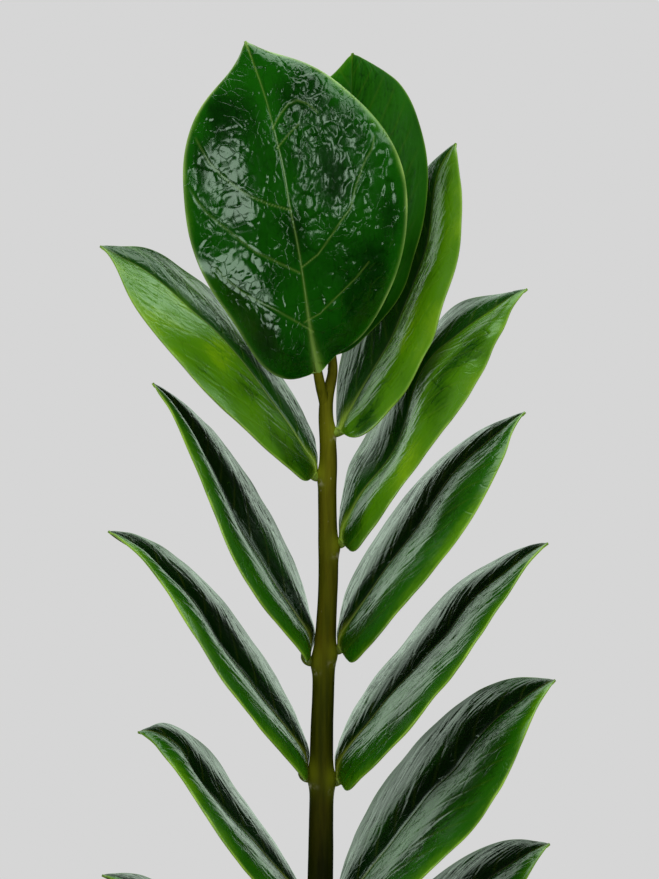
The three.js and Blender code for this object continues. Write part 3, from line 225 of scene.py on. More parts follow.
        (41.22, -19.31, 261.36, 40.6, -11.93, 261.74, 40.23, -4.56, 262.72),
        (43.79, -17, 263.51, 43.56, -12.01, 263.64, 43.42, -7.02, 264.33),
        (46.29, -14.67, 265.02, 46.22, -12.03, 265.04, 46.21, -9.39, 265.35),
        (48.48, -12, 266.05, 48.47, -12, 266.06, 48.46, -12, 266.09),
    ),
    "leaflet_left_1": (
        (-2.52, -1.1, 379.25, -2.52, 0, 380.85, -2.52, 1.1, 382.45),
        (-4.82, -4.94, 379.53, -2.64, -0.3, 383.29, -2.07, 4.65, 385.35),
        (-7.55, -8.23, 381.72, -4.48, -0.64, 386.27, -2.66, 7.45, 388.96),
        (-10.66, -11.1, 384.34, -6.69, -1.01, 389.7, -4.31, 9.76, 392.95),
        (-14.02, -13.55, 387.42, -9.24, -1.38, 393.54, -6.5, 11.6, 397.35),
        (-17.52, -15.46, 390.97, -12.21, -1.73, 397.62, -9.28, 12.91, 402),
        (-21.37, -16.73, 394.65, -15.39, -2.05, 402, -12.52, 13.62, 406.79),
        (-25.42, -17.31, 398.47, -18.78, -2.31, 406.51, -15.99, 13.69, 411.74),
        (-29.46, -17.17, 402.52, -22.51, -2.5, 410.91, -19.72, 13.15, 416.62),
        (-33.32, -16.38, 406.8, -26.51, -2.62, 415.06, -23.78, 12.06, 421.15),
        (-36.98, -15.02, 411.18, -30.8, -2.67, 418.74, -28.23, 10.52, 425.02),
        (-40.45, -13.24, 415.46, -34.76, -2.64, 422.42, -32.83, 8.66, 428.2),
        (-43.51, -11.17, 419.68, -38.61, -2.57, 425.7, -36.96, 6.61, 431.3),
        (-45.73, -8.95, 423.93, -42.39, -2.44, 428.34, -41.22, 4.5, 433.15),
        (-47.46, -6.7, 427.86, -46.03, -2.3, 430.21, -45.29, 2.4, 433.57),
        (-49.38, -4.48, 431.07, -49.09, -2.15, 431.9, -48.77, 0.34, 433.49),
        (-51.57, -2, 433.36, -51.56, -2, 433.37, -51.54, -2, 433.42),
    ),
    "leaflet_left_2": (
        (-4.03, -1.1, 336.76, -4.03, 0, 338.36, -4.03, 1.1, 339.96),
        (-4.33, -5.46, 338.7, -3.96, 0.11, 341.05, -3.16, 5.68, 343.63),
        (-6.28, -8.89, 341.93, -4.09, 0.21, 344.25, -3.64, 9.32, 346.85),
        (-8.95, -11.81, 345.28, -6.26, 0.3, 347.72, -4.34, 12.42, 350.71),
        (-11.95, -14.24, 348.97, -8.82, 0.36, 351.59, -5.72, 14.96, 355.04),
        (-15.01, -16.1, 353.12, -11.79, 0.37, 355.73, -7.57, 16.84, 359.76),
        (-17.84, -17.3, 357.81, -14.57, 0.32, 360.43, -9.9, 17.94, 364.75),
        (-20.52, -17.8, 362.82, -17.69, 0.2, 365.2, -12.29, 18.2, 370.01),
        (-22.96, -17.61, 368.07, -20.81, 0, 370.11, -15.32, 17.61, 375.09),
        (-25.25, -16.78, 373.39, -23.34, -0.27, 375.36, -18.34, 16.24, 380.16),
        (-27.5, -15.44, 378.61, -25.73, -0.61, 380.53, -21.63, 14.22, 384.86),
        (-29.69, -13.71, 383.62, -28.14, -1, 385.41, -24.91, 11.72, 389.2),
        (-31.78, -11.74, 388.32, -30.46, -1.42, 389.92, -28.3, 8.91, 392.9),
        (-33.71, -9.66, 392.64, -32.95, -1.85, 393.8, -31.53, 5.96, 396.04),
        (-35.65, -7.55, 396.38, -35.36, -2.27, 397.09, -34.57, 3.01, 398.51),
        (-37.85, -5.46, 399.31, -37.54, -2.66, 399.79, -37.28, 0.13, 400.4),
        (-39.43, -3, 401.93, -39.41, -3, 401.94, -39.4, -3, 401.95),
    ),
    "leaflet_left_3": (
        (-4.66, -1.1, 310.02, -4.66, 0, 311.62, -4.66, 1.1, 313.22),
        (-4.7, -6.03, 311.45, -4.81, -0.46, 314.35, -4.4, 5.12, 317.02),
        (-6.92, -10.09, 314.69, -5.43, -0.99, 317.54, -5.48, 8.12, 320.05),
        (-9.61, -13.69, 318.21, -7.72, -1.57, 321, -6.82, 10.54, 323.72),
        (-12.59, -16.79, 322.06, -10.5, -2.19, 324.75, -8.72, 12.41, 327.85),
        (-15.77, -19.29, 326.23, -13.7, -2.82, 328.73, -11.23, 13.65, 332.29),
        (-19.08, -21.05, 330.63, -16.94, -3.43, 333.12, -14.11, 14.19, 337.01),
        (-22.49, -21.99, 335.18, -20.48, -3.99, 337.58, -17.39, 14.01, 341.81),
        (-25.58, -22.11, 340.03, -24.12, -4.5, 342.08, -20.8, 13.11, 346.71),
        (-28.58, -21.44, 344.9, -27.05, -4.93, 347.08, -24.33, 11.58, 351.53),
        (-31.73, -20.11, 349.53, -30.03, -5.29, 351.88, -28.2, 9.54, 355.85),
        (-34.69, -18.27, 354, -33.78, -5.56, 355.75, -32.19, 7.16, 359.63),
        (-37.77, -16.08, 358.01, -37.65, -5.75, 358.97, -36.12, 4.57, 362.86),
        (-40.79, -13.69, 361.53, -40.77, -5.88, 362.34, -39.85, 1.93, 365.49),
        (-43.85, -11.24, 364.37, -44.09, -5.96, 364.65, -43.46, -0.67, 367.09),
        (-46.8, -8.79, 366.48, -47.06, -5.99, 366.45, -46.69, -3.2, 367.83),
        (-49.32, -6, 368.18, -49.32, -6, 368.18, -49.3, -6, 368.22),
    ),
    "leaflet_left_4": (
        (-5.28, -1.1, 279.65, -5.28, 0, 281.25, -5.28, 1.1, 282.85),
        (-6.31, -5.46, 280.34, -5.51, -0.2, 283.1, -5.62, 5.37, 285.03),
        (-8.58, -9.06, 282.45, -6.89, -0.46, 285.32, -7.24, 8.65, 286.79),
        (-11.07, -12.23, 284.93, -8.9, -0.78, 287.87, -8.98, 11.33, 289.17),
        (-13.69, -14.97, 287.79, -11.26, -1.18, 290.67, -10.81, 13.42, 292.13),
        (-16.35, -17.21, 290.99, -13.88, -1.66, 293.72, -13.02, 14.82, 295.4),
        (-19.06, -18.84, 294.4, -16.59, -2.2, 297.06, -15.52, 15.42, 298.96),
        (-21.67, -19.82, 298.02, -19.64, -2.82, 300.34, -18.12, 15.18, 302.81),
        (-24.21, -20.13, 301.71, -22.64, -3.5, 303.8, -20.93, 14.11, 306.72),
        (-26.71, -19.82, 305.36, -25.64, -4.23, 307.26, -23.44, 12.28, 310.89),
        (-29.19, -19, 308.85, -28.5, -4.99, 310.69, -26.07, 9.84, 314.87),
        (-31.5, -17.77, 312.21, -30.72, -5.76, 314.34, -29.07, 6.95, 318.25),
        (-33.71, -16.27, 315.3, -32.4, -6.52, 317.97, -32.18, 3.8, 321.02),
        (-35.97, -14.62, 317.95, -34.92, -7.25, 320.52, -35.23, 0.56, 323.11),
        (-38.15, -12.9, 320.14, -37.67, -7.91, 322.08, -38.2, -2.63, 323.74),
        (-40.37, -11.14, 321.67, -40.23, -8.5, 322.83, -40.46, -5.71, 322.87),
        (-42.4, -9, 322.64, -42.39, -9, 322.68, -42.39, -9, 322.68),
    ),
    "leaflet_left_5": (
        (-5.96, -1.47, 250.54, -5.96, -0.37, 252.14, -5.96, 0.73, 253.74),
        (-5.94, -6.29, 252.39, -6.16, -1.03, 254.22, -6.88, 4.54, 255.55),
        (-8.1, -10.37, 255.13, -7.63, -1.77, 256.59, -8.31, 7.34, 257.44),
        (-10.73, -14.02, 257.93, -9.99, -2.58, 259.07, -10.06, 9.53, 259.86),
        (-13.65, -17.24, 260.89, -12.8, -3.45, 261.71, -12.29, 11.16, 262.63),
        (-16.8, -19.88, 264, -15.96, -4.32, 264.46, -15.03, 12.15, 265.62),
        (-20.1, -21.82, 267.2, -19.24, -5.18, 267.51, -18.1, 12.45, 268.84),
        (-23.51, -22.98, 270.4, -22.75, -5.98, 270.56, -21.48, 12.02, 272.17),
        (-26.75, -23.33, 273.78, -26.34, -6.7, 273.63, -24.96, 10.91, 275.62),
        (-29.95, -22.92, 277.09, -29.48, -7.32, 277.16, -28.51, 9.19, 279.05),
        (-33.22, -21.85, 280.11, -32.62, -7.84, 280.52, -32.21, 6.99, 282.11),
        (-36.35, -20.25, 282.95, -36.2, -8.25, 283.01, -35.92, 4.47, 284.75),
        (-39.49, -18.3, 285.37, -39.77, -8.55, 284.98, -39.49, 1.78, 286.98),
        (-42.51, -16.13, 287.39, -42.8, -8.76, 287.11, -42.79, -0.95, 288.78),
        (-45.45, -13.88, 288.84, -45.8, -8.89, 288.41, -45.84, -3.61, 289.74),
        (-48.17, -11.6, 289.75, -48.42, -8.96, 289.37, -48.44, -6.17, 290.1),
        (-50.5, -9, 290.35, -50.5, -9, 290.35, -50.49, -9, 290.39),
    ),
    "leaflet_left_6": (
        (-6.47, -2.25, 220.2, -6.47, -1.15, 221.8, -6.47, -0.05, 223.4),
        (-6.33, -6.53, 222.25, -6.73, -1.27, 223.64, -7.2, 3.99, 224.63),
        (-8.36, -9.96, 224.93, -7.91, -1.35, 225.76, -8.54, 7.25, 226.12),
        (-10.84, -12.9, 227.63, -10.14, -1.45, 227.98, -10.19, 9.99, 228.13),
        (-13.61, -15.36, 230.44, -12.8, -1.57, 230.34, -12.3, 12.22, 230.49),
        (-16.6, -17.24, 233.36, -15.81, -1.69, 232.82, -14.9, 13.87, 233.11),
        (-19.74, -18.46, 236.34, -18.93, -1.82, 235.59, -17.82, 14.82, 235.99),
        (-22.99, -18.96, 239.31, -22.27, -1.96, 238.39, -21.02, 15.04, 239.03),
        (-26.09, -18.73, 242.4, -25.7, -2.1, 241.22, -24.34, 14.53, 242.25),
        (-29.15, -17.84, 245.42, -28.69, -2.24, 244.52, -27.72, 13.35, 245.5),
        (-32.27, -16.38, 248.16, -31.7, -2.38, 247.67, -31.25, 11.63, 248.46),
        (-35.26, -14.52, 250.71, -35.11, -2.51, 250.03, -34.79, 9.5, 251.05),
        (-38.25, -12.38, 252.87, -38.51, -2.63, 251.91, -38.2, 7.12, 253.29),
        (-41.13, -10.12, 254.65, -41.41, -2.75, 253.93, -41.36, 4.63, 255.14),
        (-43.93, -7.84, 255.9, -44.26, -2.85, 255.19, -44.27, 2.14, 256.19),
        (-46.52, -5.57, 256.65, -46.76, -2.93, 256.13, -46.76, -0.29, 256.67),
        (-48.73, -3, 257.08, -48.73, -3, 257.08, -48.72, -3, 257.11),
    ),
}

# Stalk axis and radius: z, x, y, radius (the CAD stalk's rows).
STALK = [
    (110.4, 0, -0.1, 7.9), (112.5, 0, -0.2, 7.7), (116.5, -0.1, -0.5, 7.1), (122, -0.3, -1, 6.4),
    (130, -0.5, -1.5, 5.9), (141, -0.75, -2, 5.5), (154, -0.95, -2.4, 5.15), (168, -1.15, -2.5, 4.85),
    (182, -1.33, -2.4, 4.55), (195, -1.45, -2.1, 4.3), (206, -1.54, -1.7, 4.12), (212, -1.58, -1.45, 4.0),
    (216.5, -1.61, -1.3, 3.95), (220.5, -1.61, -1.2, 3.95), (225, -1.61, -1.1, 3.75), (235, -1.61, -0.8, 3.55),
    (245, -1.6, -0.5, 3.45), (250.5, -1.54, -0.4, 3.5), (256, -1.5, -0.3, 3.3), (269, -1.38, 0, 3.15),
    (276, -1.28, 0, 3.1), (281, -1.2, 0, 3.1), (286, -1.12, 0, 2.95), (293, -1.01, 0, 2.88),
    (306, -0.83, 0, 2.8), (311, -0.81, 0, 2.82), (316, -0.78, 0, 2.7), (326.3, -0.6, 0, 2.55),
    (333, -0.38, 0, 2.55), (339.5, -0.2, 0, 2.6), (345, 0.18, 0, 2.4), (352, 0.6, 0, 2.24),
    (359.4, 0.8, 0, 2.24), (365, 0.72, 0, 2.25), (370, 0.58, 0, 2.15), (377.8, 0.52, 0, 2.1),
    (382, 0.7, 0, 2.05), (387, 0.72, 0, 1.9), (391.5, 0.4, 0, 1.75), (396.9, 0.23, 0, 1.62),
    (400.5, 0.85, 0.6, 1.4), (403.6, 1.6, 1.7, 1.2), (406.2, 1.75, 2.6, 1.1), (408.6, 1.6, 3.2, 0.95),
]
TIP_FORK = [
    (396.2, 0.1, -0.1, 1.2), (398.6, -0.3, -0.7, 1.25), (400.4, -0.8, -1.6, 1.2), (402.2, -1.2, -2.4, 1.15),
    (403.6, -1.5, -2.9, 1.1), (405.2, -1.75, -3.4, 0.95),
]


# ---------------------------------------------------------------- numeric helpers
def _hash(ix, iy, seed):
    n = (ix.astype(np.int64) * 374761393 + iy.astype(np.int64) * 668265263 + seed * 974711 + 1013) & 0x7FFFFFFF
    n = ((n ^ (n >> 13)) * 1274126177) & 0x7FFFFFFF
    n = ((n ^ (n >> 15)) * 2246822519) & 0x7FFFFFFF
    return (n ^ (n >> 16)) / 2147483647.0


def value(x, y, seed=0):
    """Smooth value noise, -1 to 1."""
    x, y = np.broadcast_arrays(np.asarray(x, float), np.asarray(y, float))
    ix, iy = np.floor(x), np.floor(y)
    fx, fy = x - ix, y - iy
    fx = fx * fx * fx * (fx * (fx * 6 - 15) + 10)
    fy = fy * fy * fy * (fy * (fy * 6 - 15) + 10)
    a, b = _hash(ix, iy, seed), _hash(ix + 1, iy, seed)
    c, d = _hash(ix, iy + 1, seed), _hash(ix + 1, iy + 1, seed)
    return 2 * ((a * (1 - fx) + b * fx) * (1 - fy) + (c * (1 - fx) + d * fx) * fy) - 1


def fbm(x, y, seed=0, octaves=4, gain=0.5):
    total, amp, norm = 0.0, 1.0, 0.0
    for k in range(octaves):
        total = total + amp * value(x * 2.03**k + 17.1 * k, y * 2.03**k - 9.7 * k, seed + 31 * k)
        norm += amp
        amp *= gain
    return total / norm


def cells(x, y, seed=0):
    """Distance to the nearest and second nearest of jittered cell points, with two random numbers and the offset of the nearest."""
    x, y = np.broadcast_arrays(np.asarray(x, float), np.asarray(y, float))
    ix, iy = np.floor(x), np.floor(y)
    f1 = np.full(x.shape, 9.0)
    f2 = np.full(x.shape, 9.0)
    ra = np.zeros(x.shape)
    rb = np.zeros(x.shape)
    ox = np.zeros(x.shape)
    oy = np.zeros(x.shape)
    for dx in (-1, 0, 1):
        for dy in (-1, 0, 1):
            cx, cy = ix + dx, iy + dy
            px = cx + 0.12 + 0.76 * _hash(cx, cy, seed)
            py = cy + 0.12 + 0.76 * _hash(cx, cy, seed + 7)
            d = np.hypot(px - x, py - y)
            near = d < f1
            f2 = np.where(near, f1, np.minimum(f2, d))
            ra = np.where(near, _hash(cx, cy, seed + 13), ra)
            rb = np.where(near, _hash(cx, cy, seed + 19), rb)
            ox = np.where(near, x - px, ox)
            oy = np.where(near, y - py, oy)
            f1 = np.where(near, d, f1)
    return f1, f2, ra, rb, ox, oy


def step(x, a, b):
    t = np.clip((np.asarray(x, float) - a) / (b - a), 0, 1)
    return t * t * (3 - 2 * t)


def bell(x, width):
    return np.exp(-((np.asarray(x, float) / width) ** 2))


def spline(rows, t):
    """A natural cubic spline through rows at 0, 1, 2..., read at t."""
    y = np.asarray(rows, float)
    n = len(y)
    a = np.eye(n)
    r = np.zeros_like(y)
    for i in range(1, n - 1):
        a[i, i - 1 : i + 2] = 1, 4, 1
        r[i] = 6 * (y[i - 1] - 2 * y[i] + y[i + 1])
    m = np.linalg.solve(a, r)
    t = np.clip(np.asarray(t, float), 0, n - 1 - 1e-9)
    i = t.astype(int)
    f = (t - i)[:, None]
    g = 1 - f
    return g * y[i] + f * y[i + 1] + (g**3 - g) * m[i] / 6 + (f**3 - f) * m[i + 1] / 6


def unit(v):
    return v / np.maximum(np.linalg.norm(v, axis=-1, keepdims=True), 1e-12)


def distance_to_lines(x, z, lines):
    """For each point, how far it is from the nearest of these polylines, and how far along it (0 to 1)."""
    best = np.full(x.shape, 1e9)
    along = np.zeros(x.shape)
    for line in lines:
        line = np.asarray(line, float)
        total = len(line) - 1
        for k in range(total):
            ax, az = line[k]
            bx, bz = line[k + 1]
            dx, dz = bx - ax, bz - az
            f = np.clip(((x - ax) * dx + (z - az) * dz) / (dx * dx + dz * dz + 1e-12), 0, 1)
            d = np.hypot(x - ax - f * dx, z - az - f * dz)
            near = d < best
            best = np.where(near, d, best)
            along = np.where(near, (k + f) / total, along)
    return best, along


def new_mesh(name, points, quads, tris=()):
    """A smooth mesh object in metres from millimetre points."""
    me = bpy.data.meshes.new(name)
    points = np.asarray(points, np.float64) * MM
    quads = np.asarray(quads, np.int32).reshape(-1, 4)
    tris = np.asarray(tris, np.int32).reshape(-1, 3)
    me.vertices.add(len(points))
    me.vertices.foreach_set("co", points.astype(np.float32).ravel())
    loops = np.concatenate([quads.ravel(), tris.ravel()])
    me.loops.add(len(loops))
    me.loops.foreach_set("vertex_index", loops)
    starts = np.concatenate([np.arange(len(quads)) * 4, len(quads) * 4 + np.arange(len(tris)) * 3])
    me.polygons.add(len(starts))
    me.polygons.foreach_set("loop_start", starts.astype(np.int32))
    me.update(calc_edges=True)
    me.validate()
    me.polygons.foreach_set("use_smooth", np.ones(len(me.polygons), bool))
    me.update()
    ob = bpy.data.objects.new(name, me)
    bpy.context.scene.collection.objects.link(ob)
    return ob


def set_float(ob, name, values):
    a = ob.data.attributes.new(name, "FLOAT", "POINT")
    a.data.foreach_set("value", np.asarray(values, np.float32).ravel())


def set_vector(ob, name, values):
    a = ob.data.attributes.new(name, "FLOAT_VECTOR", "POINT")
    a.data.foreach_set("vector", np.asarray(values, np.float32).ravel())


def outward(points, quads, tris):
    """The faces, turned over if they enclose a negative volume."""
    p = np.asarray(points, float)
    q, t = np.asarray(quads).reshape(-1, 4), np.asarray(tris).reshape(-1, 3)
    c = p.mean(0)
    v = 0.0
    for f in (q[:, [0, 1, 2]], q[:, [0, 2, 3]], t):
        if len(f):
            v += np.einsum("ij,ij->i", p[f[:, 0]] - c, np.cross(p[f[:, 1]] - c, p[f[:, 2]] - c)).sum()
    return (q, t) if v > 0 else (q[:, ::-1], t[:, ::-1])


def ring_faces(rows, ring, start=0):
    """Quads between successive closed rings of points."""
    i, k = np.meshgrid(np.arange(rows - 1), np.arange(ring), indexing="ij")
    a = start + i * ring + k
    b = start + i * ring + (k + 1) % ring
    return np.stack([a, b, b + ring, a + ring], -1).reshape(-1, 4)


# ---------------------------------------------------------------- material helpers
class Nodes:
    """A small builder for node materials."""

    def __init__(self, name):
        self.material = bpy.data.materials.new(name)
        self.material.use_nodes = True
        self.tree = self.material.node_tree
        self.tree.nodes.clear()
        self.out = self.tree.nodes.new("ShaderNodeOutputMaterial")
        self.shader = self.tree.nodes.new("ShaderNodeBsdfPrincipled")
        self.tree.links.new(self.shader.outputs[0], self.out.inputs["Surface"])

    def add(self, kind, **settings):
        node = self.tree.nodes.new(kind)
        for key, val in settings.items():
            setattr(node, key, val)
        return node

    def link(self, a, b):
        self.tree.links.new(a, b)

    def put(self, socket, val):
        if hasattr(val, "is_output"):
            self.link(val, socket)
        else:
            socket.default_value = val

    def attribute(self, name, vector=False):
        node = self.add("ShaderNodeAttribute", attribute_name=name)
        return node.outputs["Vector" if vector else "Fac"]

    def math(self, op, a, b=0.0, clamp=False):
        node = self.add("ShaderNodeMath", operation=op, use_clamp=clamp)
        self.put(node.inputs[0], a)
        self.put(node.inputs[1], b)
        return node.outputs[0]

    def remap(self, x, a, b, c=0.0, d=1.0, smooth=True):
        node = self.add("ShaderNodeMapRange", interpolation_type="SMOOTHSTEP" if smooth else "LINEAR")
        for i, val in enumerate((x, a, b, c, d)):
            self.put(node.inputs[i], val)
        return node.outputs[0]

    def mix(self, fac, a, b, blend="MIX"):
        node = self.add("ShaderNodeMix", data_type="RGBA", blend_type=blend)
        self.put(node.inputs[0], fac)
        for i, val in ((6, a), (7, b)):
            self.put(node.inputs[i], (*val, 1.0) if isinstance(val, tuple) and len(val) == 3 else val)
        return node.outputs[2]

    def noise(self, vector, scale, detail=4.0, rough=0.5, distortion=0.0):
        node = self.add("ShaderNodeTexNoise")
        self.link(vector, node.inputs["Vector"])
        node.inputs["Scale"].default_value = scale
        node.inputs["Detail"].default_value = detail
        node.inputs["Roughness"].default_value = rough
        node.inputs["Distortion"].default_value = distortion
        return node.outputs["Fac"]

    def voronoi(self, vector, scale, feature="F1", randomness=1.0):
        node = self.add("ShaderNodeTexVoronoi", feature=feature)
        self.link(vector, node.inputs["Vector"])
        node.inputs["Scale"].default_value = scale
        node.inputs["Randomness"].default_value = randomness
        return node.outputs["Distance"]

    def stretch(self, vector, scale, rotation=(0, 0, 0)):
        node = self.add("ShaderNodeMapping")
        self.link(vector, node.inputs["Vector"])
        node.inputs["Scale"].default_value = scale
        node.inputs["Rotation"].default_value = rotation
        return node.outputs["Vector"]

    def bump(self, height, strength, distance, normal=None):
        node = self.add("ShaderNodeBump")
        node.inputs["Strength"].default_value = strength
        node.inputs["Distance"].default_value = distance
        self.link(height, node.inputs["Height"])
        if normal is not None:
            self.link(normal, node.inputs["Normal"])
        return node.outputs["Normal"]

    def object_coords(self):
        return self.add("ShaderNodeTexCoord").outputs["Object"]

    def set(self, **values):
        for key, val in values.items():
            self.put(self.shader.inputs[key.replace("_", " ")], val)


def ramp3(m, fac, dark, mid, light):
    a = m.mix(m.remap(fac, 0.0, 0.5), dark, mid)
    return m.mix(m.remap(fac, 0.5, 1.0), a, light)


# ---------------------------------------------------------------- leaf material
def leaf_material(name, dark, mid, light, rim, vein, under, rough=0.2, gloss=0.5, grained=0.45, crazed=0.0, slim=1.0):
    """Waxy leaf skin. tone, rimf, veinf and under are painted on the mesh; co is the place on the blade in metres:
    along, across, side. rimf and the rim colour paint the light shining through the thin margins as colour; tone holds
    painted shade and painted light besides the blade's own colour.
    """
    m = Nodes(name)
    co = m.attribute("co", vector=True)
    tone = m.attribute("tone")
    patches = m.noise(co, 60.0, 4.0, 0.55, 0.3)
    fine = m.noise(m.stretch(co, (1.0, 3.2, 1.0)), 420.0, 5.0, 0.6)
    level = m.math("ADD", tone, m.math("MULTIPLY", m.math("SUBTRACT", patches, 0.5), 0.42))
    level = m.math("ADD", level, m.math("MULTIPLY", m.math("SUBTRACT", fine, 0.5), 0.22), clamp=True)
    colour = ramp3(m, level, dark, mid, light)
    # pale flecks where the cuticle is thick
    flecks = m.remap(m.voronoi(co, 900.0), 0.06, 0.16, 1.0, 0.0)
    sparse = m.remap(m.noise(co, 260.0, 2.0, 0.5), 0.60, 0.68)
    colour = m.mix(m.math("MULTIPLY", m.math("MULTIPLY", flecks, sparse), 0.35), colour, light)
    # the dull side: paler, clouded, with the side veins showing through
    dull = m.mix(m.remap(m.math("ADD", m.math("MULTIPLY", patches, 0.6), m.math("MULTIPLY", fine, 0.4)), 0.38, 0.62),
                 tuple(0.62 * c for c in under), tuple(1.25 * c for c in under))
    colour = m.mix(m.attribute("under"), colour, dull)
    colour = m.mix(m.attribute("veinf"), colour, vein)
    # painted light: the margins made pale as if light shone through the thin edge
    colour = m.mix(m.attribute("rim_glow"), colour, rim)
    m.set(Base_Color=colour)
    sheen = m.noise(m.stretch(co, (1.0, 2.4, 1.0)), 190.0, 4.0, 0.6)
    r = m.math("ADD", rough - 0.05, m.math("MULTIPLY", sheen, 0.12))
    r = m.math("ADD", r, m.math("MULTIPLY", m.attribute("under"), 0.38))
    r = m.math("ADD", r, m.math("MULTIPLY", m.attribute("veinf"), 0.38))
    m.set(Roughness=r)
    m.shader.inputs["IOR"].default_value = 1.48
    m.shader.inputs["Specular IOR Level"].default_value = gloss
    m.shader.inputs["Coat Weight"].default_value = 0.3 * gloss
    m.shader.inputs["Coat Roughness"].default_value = 0.12
    grain = m.noise(m.stretch(co, (1.0, 4.5, 1.0)), 700.0, 3.0, 0.6)
    pores = m.voronoi(co, 2600.0)
    # the dull side is much the smoother to the touch
    crisp = m.math("SUBTRACT", 1.0, m.math("MULTIPLY", m.attribute("under"), 0.88))
    n = m.bump(m.math("MULTIPLY", grain, crisp), grained, 0.00005)
    n = m.bump(m.math("MULTIPLY", pores, crisp), 0.3 * grained, 0.00003, n)
    if crazed:
        # the fine net of sunken lines between the cells of the skin
        wobble = m.add("ShaderNodeTexNoise")
        m.link(co, wobble.inputs["Vector"])
        wobble.inputs["Scale"].default_value = 380.0
        wobble.inputs["Detail"].default_value = 2.0
        shake = m.add("ShaderNodeVectorMath", operation="MULTIPLY_ADD")
        m.link(wobble.outputs["Color"], shake.inputs[0])
        shake.inputs[1].default_value = (0.0018, 0.0018, 0.0)
        m.link(co, shake.inputs[2])
        net = m.voronoi(m.stretch(shake.outputs[0], (slim, 1.0, 1.0), (0.0, 0.0, 0.35 * (1 - slim))), 430.0, "DISTANCE_TO_EDGE")
        worn = m.remap(m.noise(co, 95.0, 3.0, 0.5), 0.42, 0.58, 0.0, 0.10)
        crease = m.remap(m.math("ADD", net, m.math("SUBTRACT", 0.10, worn)), 0.0, 0.07)
        n = m.bump(m.math("MULTIPLY", crease, crisp), crazed, 0.00007, n)
    m.set(Normal=n)
    return m.material


# the fifth colour of each leaf is the painted glow of light through its margins
LEAF = leaf_material(
    "leaf", (0.0006, 0.0090, 0.0001), (0.010, 0.078, 0.0002), (0.085, 0.235, 0.0005),
    (0.25, 0.43, 0.035), (0.118, 0.160, 0.003), (0.035, 0.090, 0.006), crazed=0.55, slim=0.5,
)
LEAF_FRONT = leaf_material(
    "leaf_front", (0.0006, 0.0140, 0.0001), (0.004, 0.072, 0.0001), (0.056, 0.220, 0.0006),
    (0.32, 0.50, 0.12), (0.15, 0.27, 0.028), (0.035, 0.085, 0.010), rough=0.13, grained=0.22, crazed=0.75,
)
LEAF_BACK = leaf_material(
    "leaf_back", (0.0015, 0.026, 0.0001), (0.010, 0.092, 0.0002), (0.075, 0.235, 0.0005),
    (0.20, 0.38, 0.045), (0.105, 0.165, 0.010), (0.035, 0.085, 0.010), rough=0.42, gloss=0.05,
)
YOUNG = leaf_material(
    "young_leaf", (0.004, 0.040, 0.0001), (0.054, 0.172, 0.0003), (0.185, 0.350, 0.0006),
    (0.22, 0.38, 0.04), (0.155, 0.25, 0.008), (0.07, 0.15, 0.012), rough=0.22, gloss=0.46, crazed=0.4, slim=0.6,
)

# ---------------------------------------------------------------- leaflets
# Veins of the front end leaflet: x, z from the midrib outwards, where a straight look from the
# front meets the y = 0 plane.
FRONT_VEINS = [
    ((-5.74, 427.38), (-6.67, 427.82), (-9.43, 429.13), (-11.89, 430.29), (-15.64, 432.12), (-19.94, 435.35), (-23.69, 438.33), (-27.19, 441.32), (-29.44, 444.08), (-31.05, 446.85)),
    ((-7.97, 441.78), (-8.97, 442.06), (-12.95, 443.17), (-17.25, 445.0), (-20.47, 447.14), (-23.69, 449.83), (-26.38, 452.53), (-28.29, 455.81), (-29.67, 458.35)),
    ((-2.68, 413.88), (-3.56, 414.42), (-7.59, 416.83), (-11.89, 419.25), (-15.11, 420.86), (-18.86, 422.93), (-22.31, 425.69), (-25.07, 428.44)),
    ((-5.18, 428.79), (-4.37, 429.43), (-1.68, 431.6), (0.99, 435.35), (4.21, 440.18), (5.82, 442.31), (6.9, 447.14), (9.04, 453.06), (10.65, 455.75), (11.27, 458.81)),
    ((-12.12, 460.48), (-11.62, 461.38), (-10.28, 463.8), (-8.67, 465.94), (-6.51, 467.02), (-4.14, 466.21), (-1.68, 464.1)),
    ((-11.01, 456.01), (-10.35, 456.8), (-8.12, 459.5), (-5.98, 461.63)),
    ((-4.81, 416.05), (-3.91, 416.55), (-1.15, 418.1), (1.54, 420.86), (4.14, 423.38), (7.13, 426.38), (9.89, 429.82)),
]

ARCH = {
    "leaflet_tip_front": 2.2, "leaflet_tip_back": 1.8, "leaflet_right_1": 1.6, "leaflet_right_2": 1.8,
    "leaflet_right_3": 1.8, "leaflet_right_4": 1.8, "leaflet_right_5": 1.8, "leaflet_right_6": 1.8,
    "leaflet_right_7": 1.8, "leaflet_left_1": 1.4, "leaflet_left_2": 2.1, "leaflet_left_3": 1.9,
    "leaflet_left_4": 1.7, "leaflet_left_5": 1.3, "leaflet_left_6": 1.3,
}
NEAR_ARCH = {"leaflet_right_2": 1.2, "leaflet_right_3": 1.0, "leaflet_right_4": 0.35, "leaflet_right_5": 0.9, "leaflet_right_6": 1.1, "leaflet_left_1": 0.3, "leaflet_left_2": 1.0, "leaflet_left_3": 1.05, "leaflet_left_4": 1.2}
LEAN = {"leaflet_right_3": 1.8, "leaflet_right_4": 3.6, "leaflet_right_5": 3.6, "leaflet_right_6": 1.8, "leaflet_left_4": 1.5}
YOUNG_LEAVES = ("leaflet_right_1", "leaflet_right_2", "leaflet_left_1")


def stalk_at(z):
    table = np.array(STALK)
    return np.array([np.interp(z, table[:, 0], table[:, 1]), np.interp(z, table[:, 0], table[:, 2]), z]), np.interp(z, table[:, 0], table[:, 3])


def half_columns(count):
    """Places from midrib (0) to margin (1), closer together at both ends."""
    v = np.linspace(0, 1, count)
    return 0.42 * v + 0.58 * (0.5 - 0.5 * np.cos(np.pi * v))


